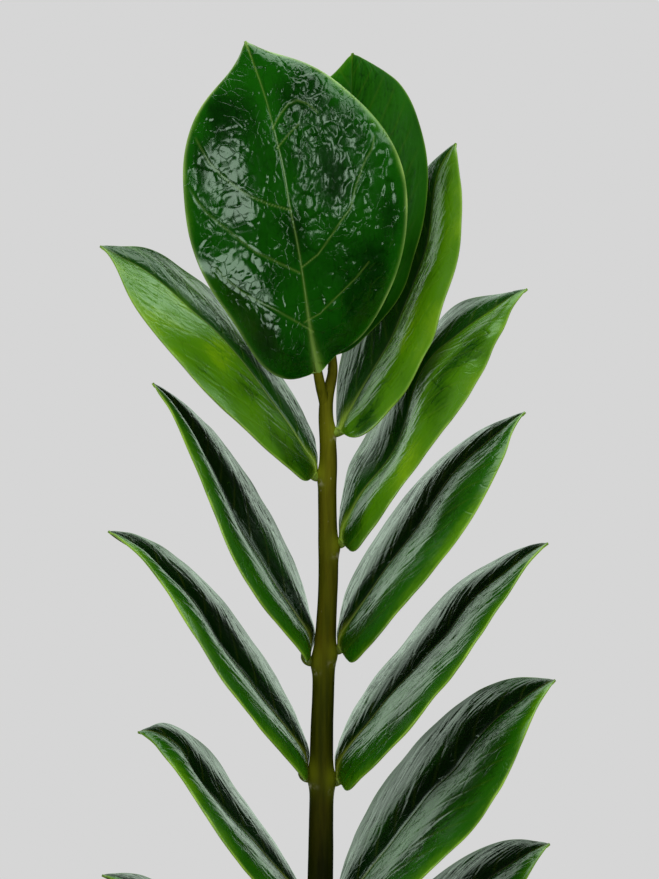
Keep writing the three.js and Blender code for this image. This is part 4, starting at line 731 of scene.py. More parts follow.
def fibre_relief(a, d, half, length, seed, sign, gain=1.0):
    """The skin of a side leaflet between the veins, in mm, with how raised it is (0 to 1). a runs along, d outwards from the midrib."""
    w = d / np.maximum(half, 1.0)
    s = a / length
    bend = 0.50 - 0.16 * w
    warp = 1.1 * value(a / 17, d / 9, seed + 3)
    across = d * np.cos(bend) - a * np.sin(bend) + warp
    along = a * np.cos(bend) + d * np.sin(bend)
    broad = value(across / 1.75, along / 11.0, seed + 15)
    ridges = value(across / 0.74, along / 8.0, seed + 5)
    crisp = 1 - 2.2 * np.abs(value(across / 1.05, along / 9.0, seed + 7))
    ridges = 0.50 * ridges + 0.30 * crisp + 0.20 * value(across / 0.44, along / 4.2, seed + 9)
    mask = 0.30 + 0.70 * step(value(a / 8.5, d / 4.6, seed + 21), -0.35, 0.45)
    mask = mask * step(w, 0.03, 0.16) * step(1 - w, 0.05, 0.22) * step(s, 0.02, 0.10)
    lumps = value(a / 6.2, d / 3.4, seed + 33)
    # long narrow cells, parted by fine sunken lines, and a few longer creases
    f1, f2, ra, rb, ox, oy = cells(across / 1.15, along / 5.2, seed + 44)
    crack = (1 - step(f2 - f1, 0.0, 0.17)) * mask
    facet = ((ra - 0.5) * ox + (rb - 0.5) * oy * 0.4) * mask
    g1, g2, rc, rd, px, py = cells((a + 0.5 * d + warp) / 7.5, (d - 0.25 * a) / 4.4, seed + 47)
    crease = (1 - step(g2 - g1, 0.0, 0.055)) * step(w, 0.03, 0.16) * step(1 - w, 0.05, 0.22)
    # sunken side veins, bowed towards the tip
    phase = (a - d * (1.25 + 0.35 * w) + 1.3 * value(a / 23, d / 11, seed + 41)) / (7.4 + 0.6 * sign)
    f = phase - np.floor(phase) - 0.5
    groove = bell(f, 0.055) * step(w, 0.02, 0.10) * step(1 - w, 0.02, 0.25)
    height = gain * (0.105 * ridges + 0.075 * broad) * mask + 0.10 * lumps * step(w, 0.0, 0.3) - 0.07 * groove
    height = height + gain * 0.13 * facet - 0.05 * crack - 0.08 * crease
    return height, ridges * mask - 0.9 * crack - 0.8 * crease, groove


def front_relief(points, a, d, half, length, seed, right):
    """The blistered skin of the front end leaflet, in mm: cells parted by fine sunken lines, between drawn veins."""
    w = d / np.maximum(half, 1.0)
    scale = 600.0 / (600.0 + points[..., 1])
    x = EYE[0] + (points[..., 0] - EYE[0]) * scale
    z = EYE[2] + (points[..., 2] - EYE[2]) * scale
    dist, along = distance_to_lines(x, z, FRONT_VEINS)
    fade = step(1 - w, 0.03, 0.14) * step(w, 0.0, 0.015)
    vein = bell(dist, 0.14) * fade * (1 - 0.45 * along)
    wx = 1.0 * value(x / 4.4, z / 4.4, seed + 2) + 0.16 * value(x / 1.7, z / 1.7, seed + 12)
    wz = 1.0 * value(x / 4.4, z / 4.4, seed + 3) + 0.16 * value(x / 1.7, z / 1.7, seed + 13)
    f1, f2, ra, rb, ox, oy = cells((x + wx) / 2.25, (z + wz) / 2.7, seed + 5)
    g1, g2, rc, rd, px, py = cells((x - wz) / 5.0, (z + wx) / 6.0, seed + 8)
    line = 1 - step(f2 - f1, 0.0, 0.20)
    broad = 1 - step(g2 - g1, 0.0, 0.10)
    # each cell lies at a tilt of its own, and so does each larger panel
    tilt = (0.26 + 0.26 * right) * ((ra - 0.5) * ox + (rb - 0.5) * oy) + 0.05 * (1 - f1)
    tilt = tilt + (0.50 + 0.35 * right) * ((rc - 0.5) * px + (rd - 0.5) * py)
    tilt = tilt + 0.035 * value(x / 2.4, z / 3.1, seed + 21)
    calm = 0.62 + 0.38 * step(value(x / 13 + 3.1, z / 15, seed + 30), -0.30, 0.25)
    height = (tilt * calm - 0.035 * line - 0.05 * broad) * step(w, 0.02, 0.10) * step(1 - w, 0.03, 0.12) * step(dist, 0.1, 1.0)
    height = height + 0.06 * bell(dist - 0.75, 0.4) * fade - 0.10 * vein
    return height, line, vein


def leaflet(name, stations, columns):
    rows = np.array(LEAFLETS[name], float)
    arch = ARCH[name]
    seed = 100 + 17 * sorted(LEAFLETS).index(name)
    front = name == "leaflet_tip_front"
    low, mid, high = rows[:, :3].copy(), rows[:, 3:6].copy(), rows[:, 6:].copy()
    # the blade's end: a short blunt point
    back = unit(mid[-2] - mid[-1])
    side = unit(low[-2] - high[-2])
    low[-1] = mid[-1] + 0.22 * side + 0.25 * back
    high[-1] = mid[-1] - 0.22 * side + 0.25 * back
    facing = np.cross(high - low, np.gradient(mid, axis=0))
    mean = facing.sum(0)
    sign = 1.0 if mean[2] * 1.2 - mean[1] > 0 else -1.0
    # the foot: a short stout neck that starts inside the stalk
    z0 = mid[0, 2] - 0.4
    if front:
        centre, r = np.array([-1.3, -2.75, 403.2]), 0.5
        reach = 0.15
    elif name == "leaflet_tip_back":
        centre, r = np.array([1.6, 2.1, 404.6]), 0.5
        reach = 0.15
    else:
        centre, r = stalk_at(z0)
        reach = max(0.1, (r - 0.9)) / max(np.linalg.norm(mid[0] - centre), 0.1)
    start = centre + (mid[0] - centre) * reach
    side0 = unit(low[1] - high[1])
    neck = 1.65 if not front and name != "leaflet_tip_back" else 1.0
    heading = unit(mid[1] - start)
    side0 = unit(side0 - heading * (side0 @ heading))
    low[0] = mid[0] + side0 * (0.7 * neck + 0.15)
    high[0] = mid[0] - side0 * (0.7 * neck + 0.15)
    low = np.vstack([start + side0 * neck, low])
    high = np.vstack([start - side0 * neck, high])
    mid = np.vstack([start, mid])
    # how far the near margin leans forward, along the line from the eye
    lean = LEAN.get(name, 0.0) * np.sin(np.pi * np.clip((np.arange(len(low)) - 1) / 16, 0, 1)) ** 0.8
    low = low + lean[:, None] * unit(np.array(EYE) - low)
    n = len(mid)
    t = np.linspace(0, n - 1, stations)
    lo, mi, hi = spline(low, t), spline(mid, t), spline(high, t)
    face = unit(np.cross(hi - lo, np.gradient(mi, axis=0))) * sign
    # one smooth run of face directions
    for _ in range(6):
        face[1:-1] = unit(0.25 * face[:-2] + 0.5 * face[1:-1] + 0.25 * face[2:])
    a = np.concatenate([[0], np.cumsum(np.linalg.norm(np.diff(mi, axis=0), axis=1))])
    length = a[-1]
    rowpos = np.clip(t - 1, 0, None)
    taper = np.sin(np.pi * np.clip((rowpos + 0.3) / (n - 2), 0, 1)) ** 0.7
    taper = np.where(np.isfinite(taper), taper, 0) * step(t, 0.6, 2.2)
    h = half_columns(columns)
    u = np.concatenate([-h[::-1], h[1:]])
    w = np.abs(u)
    ws = np.sqrt(w * w + 0.0007) - math.sqrt(0.0007)
    edge = np.where(u[None, :, None] < 0, lo[:, None], hi[:, None])
    P = mi[:, None] + ws[None, :, None] / ws[-1] * (edge - mi[:, None])
    even = 4 * w * (1 - w) * (1 + 0.25 * (0.5 - w))
    if front or name == "leaflet_tip_back":
        profile = even - (0.30 * w * (1 - w) ** 5 * 4 if front else 0)
    else:
        near = NEAR_ARCH.get(name, 1.6) * 6.75 * w * w * (1 - w)
        far = 1.0 * 6.75 * w * (1 - w) ** 2
        profile = np.where(u < 0, 0.8 * near + 0.2 * even, 0.8 * far + 0.2 * even)
    P = P + (arch * taper)[:, None, None] * profile[None, :, None] * face[:, None]
    half = np.where(u[None, :] < 0, np.linalg.norm(lo - mi, axis=1)[:, None], np.linalg.norm(hi - mi, axis=1)[:, None])
    d = half * w[None, :]
    A = np.broadcast_to(a[:, None], d.shape)
    s = a / length
    blade = step(t, 0.85, 1.30)[:, None]
    # lightly waved blade, most at the margins
    wave = 0.22 * value(A / 10.5, np.sign(u)[None, :] * 3.7, seed + 1) + 0.12 * value(A / 4.8, np.sign(u)[None, :] * 5.1, seed + 4)
    P = P + (wave * (w**2.2)[None, :] * blade * step(1 - s, 0.0, 0.12)[:, None])[..., None] * face[:, None]
    da = np.gradient(P, axis=0)
    du = np.gradient(P, axis=1)
    normal = unit(np.cross(du, da)) * sign
    if front:
        relief, ridges, vein = front_relief(P, A, d, half, length, seed, step(u[None, :], -0.15, 0.15))
    else:
        lower = fibre_relief(A, d, half, length, seed, 0.4)
        upper = fibre_relief(A, d, half, length, seed + 50, -0.4, 1.0 if "left" in name else 1.75)
        pick = (u[None, :] < 0)
        relief, ridges, vein = (np.where(pick, p, q) for p, q in zip(lower, upper))
    relief = relief * blade * step(1 - s, 0.0, 0.06)[:, None]
    # thickness: round margins, a midrib that is a groove above and a rib below
    skin = (0.27 + (0.95 if neck > 1.2 else 0.7) * (1 - blade)) * np.ones_like(d)
    r0 = np.clip((half - d) / np.maximum(skin, 0.05), 0, 1)
    flat = np.sqrt(np.clip(1 - (1 - r0) ** 2, 0, 1))
    oval = np.sqrt(np.clip(1 - (w**2)[None, :], 0, 1)) * np.ones_like(d)
    rounding = oval * (1 - blade) + flat * blade
    neck_up = 0.66 * (1 - step(t, 1.1, 3.2))[:, None] * blade
    neck_dn = (0.70 * (1 - step(t, 1.2, 6.0)) + 0.42 * (1 - 0.8 * s))[:, None] * blade
    rib_w = (0.75 + 0.55 * (1 - s))[:, None]
    sunk = (0.07 if front else 0.20) * step(t, 2.0, 5.0)[:, None] * (1 - 0.5 * s)[:, None]
    cord_w = (0.36 - 0.17 * s + 0.34 * (1 - step(t, 1.5, 6.0)))[:, None]
    up = skin * rounding + neck_up * bell(d, 0.95) - sunk * bell(d, 0.70) + (0.0 if front else 0.45) * sunk * bell(d, cord_w * 0.8)
    up = up + relief * flat
    dn = skin * rounding + neck_dn * bell(d, rib_w)
    # the under side keeps clear of the hollows of the upper one
    deep = up.copy()
    for k in range(1, 5):
        deep = np.minimum(deep, np.minimum(np.roll(up, k, 1), np.roll(up, -k, 1)))
    for _ in range(2):
        deep[1:-1] = np.minimum(deep[1:-1], np.minimum(deep[:-2], deep[2:]))
    soft = deep.copy()
    for _ in range(3):
        soft[:, 1:-1] = 0.25 * soft[:, :-2] + 0.5 * soft[:, 1:-1] + 0.25 * soft[:, 2:]
    deep = np.minimum(deep, soft)
    dn = np.maximum(dn, (0.20 - deep) * flat)
    top = P + normal * up[..., None]
    below = np.arange(2 * columns - 1)[1:-1][::4][::-1]
    bottom = (P - normal * dn[..., None])[:, below]
    ring = np.concatenate([top, bottom], 1)
    m = ring.shape[1]
    points = ring.reshape(-1, 3)
    quads = ring_faces(stations, m)
    c0, c1 = len(points), len(points) + 1
    tip = ring[-1].mean(0) + 0.12 * unit(mi[-1] - mi[-2])
    points = np.vstack([points, ring[0].mean(0), tip])
    k = np.arange(m)
    tris = np.vstack([
        np.stack([(k + 1) % m, k, np.full(m, c0)], -1),
        np.stack([(stations - 1) * m + k, (stations - 1) * m + (k + 1) % m, np.full(m, c1)], -1),
    ])
    quads, tris = outward(points, quads, tris)
    ob = new_mesh(name + "_blade", points, quads, tris)

    # painted-on data
    def spread(upper, lower, base_end, tip_end):
        flat_ = np.concatenate([upper, lower[:, below]], 1).ravel()
        return np.concatenate([flat_, [base_end, tip_end]])

    zero, one = np.zeros_like(d), np.ones_like(d)
    margin = half - d
    tip_fade = step(1 - s, 0.0, 0.03)[:, None]
    # painted light shining through the thin margin, strongest at the edge
    rim = bell(margin, 0.58 if front else 0.30) * blade
    rim_glow = np.clip(rim * (0.75 + 0.35 * value(A / 3.1, u[None, :] * 2, seed + 61)), 0, 1) * (0.9 + 0.1 * tip_fade)
    midrib = bell(d, cord_w * (1.55 if front else 0.9)) * (1.0 - (0.2 if front else 0.45) * s)[:, None]
    neckf = np.maximum((1 - step(t, 0.9, 1.6))[:, None] * one, bell(d, 1.3) * (1 - step(t, 1.6, 4.0))[:, None])
    veinf = np.clip(np.maximum(midrib, neckf), 0, 1)
    if front:
        veinf = np.clip(veinf + 0.60 * vein, 0, 1)
        # painted light and shade: a lighter band along the margin as if lit through it, and darker along the sunken
        # cell lines
        tone = 0.31 - 0.05 * ridges + 0.19 * value(A / 9, d / 6, seed + 70) + 0.30 * bell(margin, 2.2)
    else:
        veinf = np.clip(veinf + 0.10 * vein, 0, 1)
        # painted shade: on every leaflet but the two end ones, the far half is made darker, most just beside the midrib
        far_shade = 0.0 if name == "leaflet_tip_back" else 1.0
        # painted light on the raised wrinkles and painted shade in the cracks and creases; the next line adds a lighter
        # strip along the near margin, painted as light shining through it
        tone = 0.34 + 0.14 * ridges + 0.14 * value(A / 14, d / 6, seed + 70)
        tone = tone + (0.12 if name in YOUNG_LEAVES else 0.34) * bell(margin, 2.8) * (u[None, :] < 0) - far_shade * 0.30 * bell(d - 1.6, 2.6) * (u[None, :] > 0)
        tone = tone - far_shade * 0.14 * (u[None, :] > 0)
        if name in YOUNG_LEAVES:
            # painted shade: the far half of a young leaflet darker still
            tone = tone - 0.16 * (u[None, :] > 0)
            tone = tone + 0.20 * value(A / 7.5, d / 4.5, seed + 72) + 0.16 * np.sin(np.pi * s)[:, None] - (0.40 if "left" in name else 0.24) * (1 - step(s, 0.0, 0.50))[:, None]
    tone = np.clip(tone, 0.02, 0.98)
    set_float(ob, "tone", spread(tone, tone, 0.5, 0.6))
    set_float(ob, "rim_glow", spread(rim_glow, rim_glow, 0.0, 0.8))
    set_float(ob, "veinf", spread(veinf, np.clip(bell(d, rib_w) * 0.8 + neckf + 0.38 * vein, 0, 1), 1.0, 0.2))
    set_float(ob, "under", spread(bell(margin, 0.05) * 0.5 * blade, one * blade, 0.0, 0.0))
    co_up = np.stack([A + 300 * (seed % 13), d * np.sign(u)[None, :], zero], -1)
    co_dn = np.stack([A + 300 * (seed % 13), d * np.sign(u)[None, :], one * 40], -1)
    co = np.concatenate([co_up, co_dn[:, below]], 1).reshape(-1, 3)
    co = np.vstack([co, [0, 0, 0], [length, 0, 0]]) * MM
    set_vector(ob, "co", co)
    young = name in YOUNG_LEAVES
    ob.data.materials.append(YOUNG if young else LEAF_BACK if name == "leaflet_tip_back" else LEAF_FRONT if front else LEAF)
    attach(ob, "root")
    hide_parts(name)
    return ob


for leaf_name in LEAFLETS:
    if leaf_name == "leaflet_tip_front":
        leaflet(leaf_name, 300, 88)
    elif leaf_name == "leaflet_tip_back":
        leaflet(leaf_name, 200, 60)
    elif leaf_name in ("leaflet_right_7", "leaflet_left_6"):
        leaflet(leaf_name, 170, 58)
    else:
        leaflet(leaf_name, 270, 86)

# ---------------------------------------------------------------- stalk
JOINTS = [  # height, side: where each leaflet leaves the stalk
    (391.0, 1), (381.0, -1), (364.5, 1), (340.0, 1), (338.0, -1), (311.0, 1), (312.0, -1),
    (280.5, 1), (281.0, -1), (250.5, 1), (252.0, -1), (220.5, 1), (221.5, -1),
]


def stalk_material():
    m = Nodes("stalk")
    co = m.object_coords()
    joint = m.attribute("joint")
    height = m.attribute("height")
    side = m.attribute("side")
    streak = m.noise(m.stretch(co, (1.0, 1.0, 0.09)), 900.0, 4.0, 0.6)
    blotch = m.noise(m.stretch(co, (1.0, 1.0, 0.35)), 150.0, 4.0, 0.6)
    low = m.mix(m.remap(streak, 0.25, 0.75), (0.002, 0.0028, 0.0001), (0.006, 0.0085, 0.0002))
    mid = m.mix(m.remap(streak, 0.25, 0.75), (0.022, 0.027, 0.0003), (0.048, 0.052, 0.0006))
    high = m.mix(m.remap(streak, 0.25, 0.75), (0.058, 0.060, 0.0008), (0.105, 0.108, 0.003))
    base = m.mix(m.remap(streak, 0.25, 0.75), (0.008, 0.014, 0.0008), (0.022, 0.034, 0.0016))
    base = m.mix(m.math("MULTIPLY", m.remap(blotch, 0.50, 0.62), 0.7), base, (0.040, 0.058, 0.003))
    low = m.mix(m.remap(height, 0.272, 0.205), low, base)
    colour = m.mix(m.remap(height, 0.285, 0.332, smooth=False), low, mid)
    colour = m.mix(m.remap(height, 0.332, 0.388, smooth=False), colour, high)
    warm = m.math("MULTIPLY", m.math("MULTIPLY", m.remap(blotch, 0.45, 0.7), 0.5), m.remap(height, 0.285, 0.345, 0.12, 1.0))
    colour = m.mix(warm, colour, (0.070, 0.050, 0.002), "MIX")
    colour = m.mix(m.math("MULTIPLY", m.remap(height, 0.32, 0.28), warm), colour, (0.008, 0.011, 0.0002))
    # painted shade: the stalk darker on its left and right flanks, where its round side turns away from the front
    colour = m.mix(m.math("MULTIPLY", side, 0.62), colour, (0.010, 0.016, 0.001))
    colour = m.mix(m.math("MULTIPLY", joint, 0.9), colour, (0.16, 0.19, 0.006))
    specks = m.remap(m.voronoi(m.stretch(co, (1.0, 1.0, 0.5)), 620.0), 0.05, 0.13, 1.0, 0.0)
    specks = m.math("MULTIPLY", specks, m.remap(m.noise(co, 330.0, 2.0), 0.56, 0.66))
    colour = m.mix(m.math("MULTIPLY", specks, 0.55), colour, (0.26, 0.25, 0.12))
    # painted highlight: pale glints painted on the leaf scar just below each joint
    scar_glints = m.math("MULTIPLY", m.attribute("scar_glint"), m.remap(m.noise(co, 900.0, 3.0), 0.42, 0.60))
    colour = m.mix(m.math("MULTIPLY", scar_glints, 0.8), colour, (0.42, 0.40, 0.27))
    m.set(Base_Color=colour)
    m.set(Roughness=m.remap(blotch, 0.2, 0.8, 0.46, 0.62))
    m.shader.inputs["IOR"].default_value = 1.42
    m.shader.inputs["Specular IOR Level"].default_value = 0.04
    n = m.bump(streak, 0.5, 0.00008)
    n = m.bump(m.noise(co, 2600.0, 3.0, 0.6), 0.3, 0.00004, n)
    m.set(Normal=n)
    return m.material


def tube(name, table, rows, sides, joints=(), seed=1, cap=0.0):
    """A stem through rows of z, x, y, radius, swollen under each leaflet."""
    table = np.array(table, float)
    z = np.linspace(table[0, 0], table[-1, 0], rows)
    k = np.interp(z, table[:, 0], np.arange(len(table)))
    cx, cy, r = spline(table[:, 1:2], k)[:, 0], spline(table[:, 2:3], k)[:, 0], spline(table[:, 3:4], k)[:, 0]
    axis = np.stack([cx, cy, z], -1)
    along = unit(np.gradient(axis, axis=0))
    e = unit(np.array([1.0, 0, 0]) - along * along[:, :1])
    f = np.cross(along, e)
    ang = np.linspace(0, 2 * np.pi, sides, endpoint=False)
    radius = r[:, None] * np.ones(sides)
    joint = np.zeros_like(radius)
    scar_glint = np.zeros_like(radius)
    zz = z[:, None] + 0 * ang
    for zj, sj in joints:
        turn = np.clip(np.cos(ang)[None, :] * sj, 0, 1)
        scale = np.interp(zj, [220, 395], [1.25, 0.75])
        radius += 0.62 * scale * bell(zz - zj + 0.3, 2.4 * scale) * turn**1.4
        joint = np.maximum(joint, bell(zz - zj, 3.6 * scale) * (0.10 + 0.90 * turn**1.5))
        # where the painted glint on the scar goes, just below each joint
        scar_glint = np.maximum(scar_glint, bell(zz - zj + 2.6 * scale, 0.55) * turn**2)
    ridge = value(ang[None, :] / (2 * np.pi) * 16 + 0 * zz, zz / 26, seed)
    radius += 0.035 * ridge * np.minimum(r, 4)[:, None] / 3 + 0.05 * value(ang[None, :] * 1.3 + 0 * zz, zz / 7, seed + 4)
    P = axis[:, None] + radius[..., None] * (np.cos(ang)[None, :, None] * e[:, None] + np.sin(ang)[None, :, None] * f[:, None])
    points = P.reshape(-1, 3)
    quads = ring_faces(rows, sides)
    c0, c1 = len(points), len(points) + 1
    points = np.vstack([points, axis[0], axis[-1] + along[-1] * cap])
    kk = np.arange(sides)
    tris = np.vstack([np.stack([(kk + 1) % sides, kk, np.full(sides, c0)], -1),
                      np.stack([(rows - 1) * sides + kk, (rows - 1) * sides + (kk + 1) % sides, np.full(sides, c1)], -1)])
    quads, tris = outward(points, quads, tris)
    ob = new_mesh(name, points, quads, tris)
    end = lambda a: np.concatenate([a.ravel(), [0, 0]])
    set_float(ob, "joint", end(np.clip(joint, 0, 1)))
    set_float(ob, "scar_glint", end(np.clip(scar_glint, 0, 1)))
    set_float(ob, "height", np.concatenate([(zz * MM).ravel(), [z[0] * MM, z[-1] * MM]]))
    # the weight of the painted flank shade round the stalk
    set_float(ob, "side", end(np.abs(np.cos(ang))[None, :] ** 3 + 0 * zz))
    return ob


STALK_SKIN = stalk_material()
stalk = tube("stalk_skin", STALK, 760, 64, JOINTS, 5, 0.3)
fork = tube("tip_petiole", TIP_FORK, 60, 32, (), 9, 0.2)
for ob in (stalk, fork):
    ob.data.materials.append(STALK_SKIN)
    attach(ob, "root")
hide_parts("stalk")


# ---------------------------------------------------------------- pot
def terracotta():
    m = Nodes("terracotta")
    co = m.object_coords()
    big = m.noise(co, 9.0, 5.0, 0.55)
    mid = m.noise(m.stretch(co, (1.0, 1.0, 2.2)), 46.0, 5.0, 0.6)
    fine = m.noise(co, 620.0, 4.0, 0.65)
    colour = m.mix(m.remap(big, 0.3, 0.7), (0.36, 0.115, 0.046), (0.52, 0.195, 0.090))
    colour = m.mix(m.math("MULTIPLY", m.remap(mid, 0.45, 0.75), 0.55), colour, (0.58, 0.27, 0.15))
    colour = m.mix(m.math("MULTIPLY", m.remap(fine, 0.55, 0.75), 0.25), colour, (0.20, 0.065, 0.03))
    # lime bloom, heaviest just under the rim and round the foot
    bloom = m.noise(m.stretch(co, (1.0, 1.0, 0.55)), 30.0, 7.0, 0.68, 0.4)
    bands = m.attribute("bloom")
    lime = m.math("MULTIPLY", m.remap(m.math("ADD", bloom, m.math("MULTIPLY", bands, 0.15)), 0.56, 0.76), 0.5)
    colour = m.mix(lime, colour, (0.62, 0.52, 0.43))
    grit = m.remap(m.voronoi(co, 420.0), 0.06, 0.14, 1.0, 0.0)
    grit = m.math("MULTIPLY", grit, m.remap(m.noise(co, 160.0, 2.0), 0.55, 0.64))
    colour = m.mix(m.math("MULTIPLY", grit, 0.6), colour, (0.13, 0.055, 0.03))
    colour = m.mix(m.math("MULTIPLY", m.attribute("wear"), m.remap(mid, 0.35, 0.6)), colour, (0.60, 0.29, 0.17))
    # darker on the inside wall above the soil, and a little darker towards the foot outside
    colour = m.mix(m.math("MULTIPLY", m.attribute("inner_and_foot_darkening"), 0.65), colour, (0.16, 0.058, 0.030))
    m.set(Base_Color=colour)
    m.set(Roughness=m.remap(fine, 0.2, 0.8, 0.74, 0.92))
    m.shader.inputs["IOR"].default_value = 1.45
    m.shader.inputs["Specular IOR Level"].default_value = 0.28
    n = m.bump(fine, 0.5, 0.00025)
    n = m.bump(grit, 0.35, 0.0002, n)
    n = m.bump(m.noise(m.stretch(co, (1.0, 1.0, 18.0)), 60.0, 3.0, 0.5), 0.25, 0.0004, n)
    m.set(Normal=n)
    return m.material


def polyline(points, spacing):
    """The outline resampled, keeping its corners."""
    out = [np.array(points[0], float)]
    for a, b in zip(points[:-1], points[1:]):
        a, b = np.array(a, float), np.array(b, float)
        k = max(1, int(round(np.linalg.norm(b - a) / spacing)))
        out += [a + (b - a) * (i + 1) / k for i in range(k)]
    return np.array(out)


def rounded(points, radii, steps=5):
    """An outline with its corners rounded."""
    out = [np.array(points[0], float)]
    for p, q, r, rad in zip(points[:-2], points[1:-1], points[2:], radii):
        p, q, r = (np.array(v, float) for v in (p, q, r))
        a, b = q + unit(p - q) * rad, q + unit(r - q) * rad
        for i in range(steps + 1):
            f = i / steps
            out.append((1 - f) ** 2 * a + 2 * f * (1 - f) * q + f * f * b)
    out.append(np.array(points[-1], float))
    return out


outline = [(6, 0), (41.6, 0), (43, 1.6), (58, 97.8), (61.1, 98.9), (61.9, 100.4), (62.9, 120.2), (61.4, 121.8), (59.1, 121.8),
           (57.7, 120.4), (41.7, 9.5), (38.4, 7.1), (6, 7.0)]
outline = rounded(outline, [1.0, 1.1, 0.7, 0.9, 1.0, 1.0, 0.9, 0.9, 0.9, 1.2, 1.4])
profile = polyline(outline, 1.0)
SEG = 270
ang = np.linspace(0, 2 * np.pi, SEG, endpoint=False)
rp, zp = profile[:, 0], profile[:, 1]
inside = np.zeros(len(profile), bool)
top_i = int(np.argmax(zp))
inside[top_i:] = True
A2, Z2 = np.meshgrid(ang, zp)
R2 = rp[:, None] + 0 * A2
wall = step(R2, 30, 38) * np.where(inside[:, None], 1.0, 1.0)
cxn, cyn = np.cos(A2) * 3, np.sin(A2) * 3
turning = 0.05 * value(Z2 / 2.3 + 0.25 * value(cxn, cyn, 4), 0.3 * cxn, 11) + 0.035 * value(Z2 / 0.9, cyn * 0.4, 12)
uneven = 0.22 * value(cxn * 0.5 + Z2 / 60, cyn * 0.5, 13) + 0.05 * value(cxn * 3, Z2 / 9, 14)
dent = np.zeros_like(R2)
for a0, z0_, w_, h_ in ((0.4, 121.5, 0.02, 1.6), (2.1, 121.2, 0.035, 1.9), (3.9, 121.6, 0.018, 1.3), (5.2, 100.5, 0.03, 1.5), (1.3, 1.0, 0.05, 2.0), (4.5, 0.8, 0.03, 1.6)):
    dent += 0.45 * bell(np.angle(np.exp(1j * (A2 - a0))), w_ * 1.6) * bell(Z2 - z0_, h_)
R2 = R2 + wall * (turning + np.where(inside[:, None], 0.3, 1.0) * uneven - np.where(inside[:, None], 0, dent)) - 0.12 * wall
Zp2 = Z2 - dent * 0.6 * (Z2 > 119) + 0.06 * value(cxn, cyn, 15) * step(Z2, 117, 121) * 1.0
Zp2 = np.where(Z2 < 0.01, 0.0, Zp2)
P = np.stack([R2 * np.cos(A2), R2 * np.sin(A2), Zp2], -1).reshape(-1, 3)
# the floor in the middle, round its centre: closed by a hub of points above and below
quads = ring_faces(len(profile), SEG)
c0, c1 = len(P), len(P) + 1
P = np.vstack([P, [0, 0, 0.0], [0, 0, 7.0]])
k = np.arange(SEG)
tris = np.vstack([np.stack([(k + 1) % SEG, k, np.full(SEG, c0)], -1),
                  np.stack([(len(profile) - 1) * SEG + k, (len(profile) - 1) * SEG + (k + 1) % SEG, np.full(SEG, c1)], -1)])
quads, tris = outward(P, quads, tris)
pot = new_mesh("pot_body", P, quads, tris)
cutters = []
for i in range(4):
    a = math.pi / 4 + i * math.pi / 2
    rows_, ring_ = 9, 36
    zc = np.linspace(-2, 10, rows_)
    th = np.linspace(0, 2 * np.pi, ring_, endpoint=False)
    rr = 4.0 + 0.10 * value(np.cos(th)[None, :] * 1.5 + i * 5, np.sin(th)[None, :] * 1.5 + zc[:, None] / 5, 44)
    C = np.stack([22 * math.cos(a) + rr * np.cos(th), 22 * math.sin(a) + rr * np.sin(th), zc[:, None] + 0 * rr], -1).reshape(-1, 3)
    cq = ring_faces(rows_, ring_)
    n0 = len(C)
    C = np.vstack([C, [22 * math.cos(a), 22 * math.sin(a), -2], [22 * math.cos(a), 22 * math.sin(a), 10]])
    kk = np.arange(ring_)
    ct = np.vstack([np.stack([(kk + 1) % ring_, kk, np.full(ring_, n0)], -1),
                    np.stack([(rows_ - 1) * ring_ + kk, (rows_ - 1) * ring_ + (kk + 1) % ring_, np.full(ring_, n0 + 1)], -1)])
    cq, ct = outward(C, cq, ct)
    cut = new_mesh("cut_%d" % i, C, cq, ct)
    mod = pot.modifiers.new("hole", "BOOLEAN")
    mod.operation = "DIFFERENCE"
    mod.solver = "EXACT"
    mod.object = cut
    cutters.append(cut)
bpy.context.view_layer.update()
graph = bpy.context.evaluated_depsgraph_get()
cut_mesh = bpy.data.meshes.new_from_object(pot.evaluated_get(graph))
pot.modifiers.clear()
# the cut leaves a few folded slivers at the holes' edges, each two triangles on the same three points: both go
cut_mesh.calc_loop_triangles()
T3 = np.empty(len(cut_mesh.loop_triangles) * 3, dtype=np.int32)
cut_mesh.loop_triangles.foreach_get("vertices", T3)
V3 = np.empty(len(cut_mesh.vertices) * 3, dtype=np.float32)
cut_mesh.vertices.foreach_get("co", V3)
V3, where = np.unique(V3.reshape(-1, 3), axis=0, return_inverse=True)
T3 = where.ravel()[T3].reshape(-1, 3)
_, back, many = np.unique(np.sort(T3, 1), axis=0, return_inverse=True, return_counts=True)
T3 = T3[many[back.ravel()] == 1]
cut_mesh.clear_geometry()
cut_mesh.from_pydata(V3.tolist(), [], T3.tolist())
cut_mesh.update()
old = pot.data
pot.data = cut_mesh
bpy.data.meshes.remove(old)
for cut in cutters:
    me = cut.data
    bpy.data.objects.remove(cut)
    bpy.data.meshes.remove(me)
V = np.empty(len(pot.data.vertices) * 3)
pot.data.vertices.foreach_get("co", V)
V = V.reshape(-1, 3) / MM
rv = np.hypot(V[:, 0], V[:, 1])
outer = rv > np.interp(V[:, 2], [0, 122], [40, 60])
set_float(pot, "bloom", outer * (bell(V[:, 2] - 93, 9) + 0.8 * bell(V[:, 2] - 4, 8) + 0.5 * bell(V[:, 2] - 118, 4)))
set_float(pot, "wear", np.clip(bell(V[:, 2] - 121.6, 0.9) + bell(V[:, 2] - 100, 0.8) * outer + bell(V[:, 2] - 0.5, 1.2) * outer, 0, 1) * 0.7)
# darker inside above the soil, and outside towards the foot
set_float(pot, "inner_and_foot_darkening", (~outer) * step(112 - V[:, 2], 0, 5) + outer * 0.28 * step(40 - V[:, 2], 0, 45))
pot.data.materials.clear()
pot.data.materials.append(terracotta())
pot.data.polygons.foreach_set("use_smooth", np.ones(len(pot.data.polygons), bool))
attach(pot, "root")
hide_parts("pot")


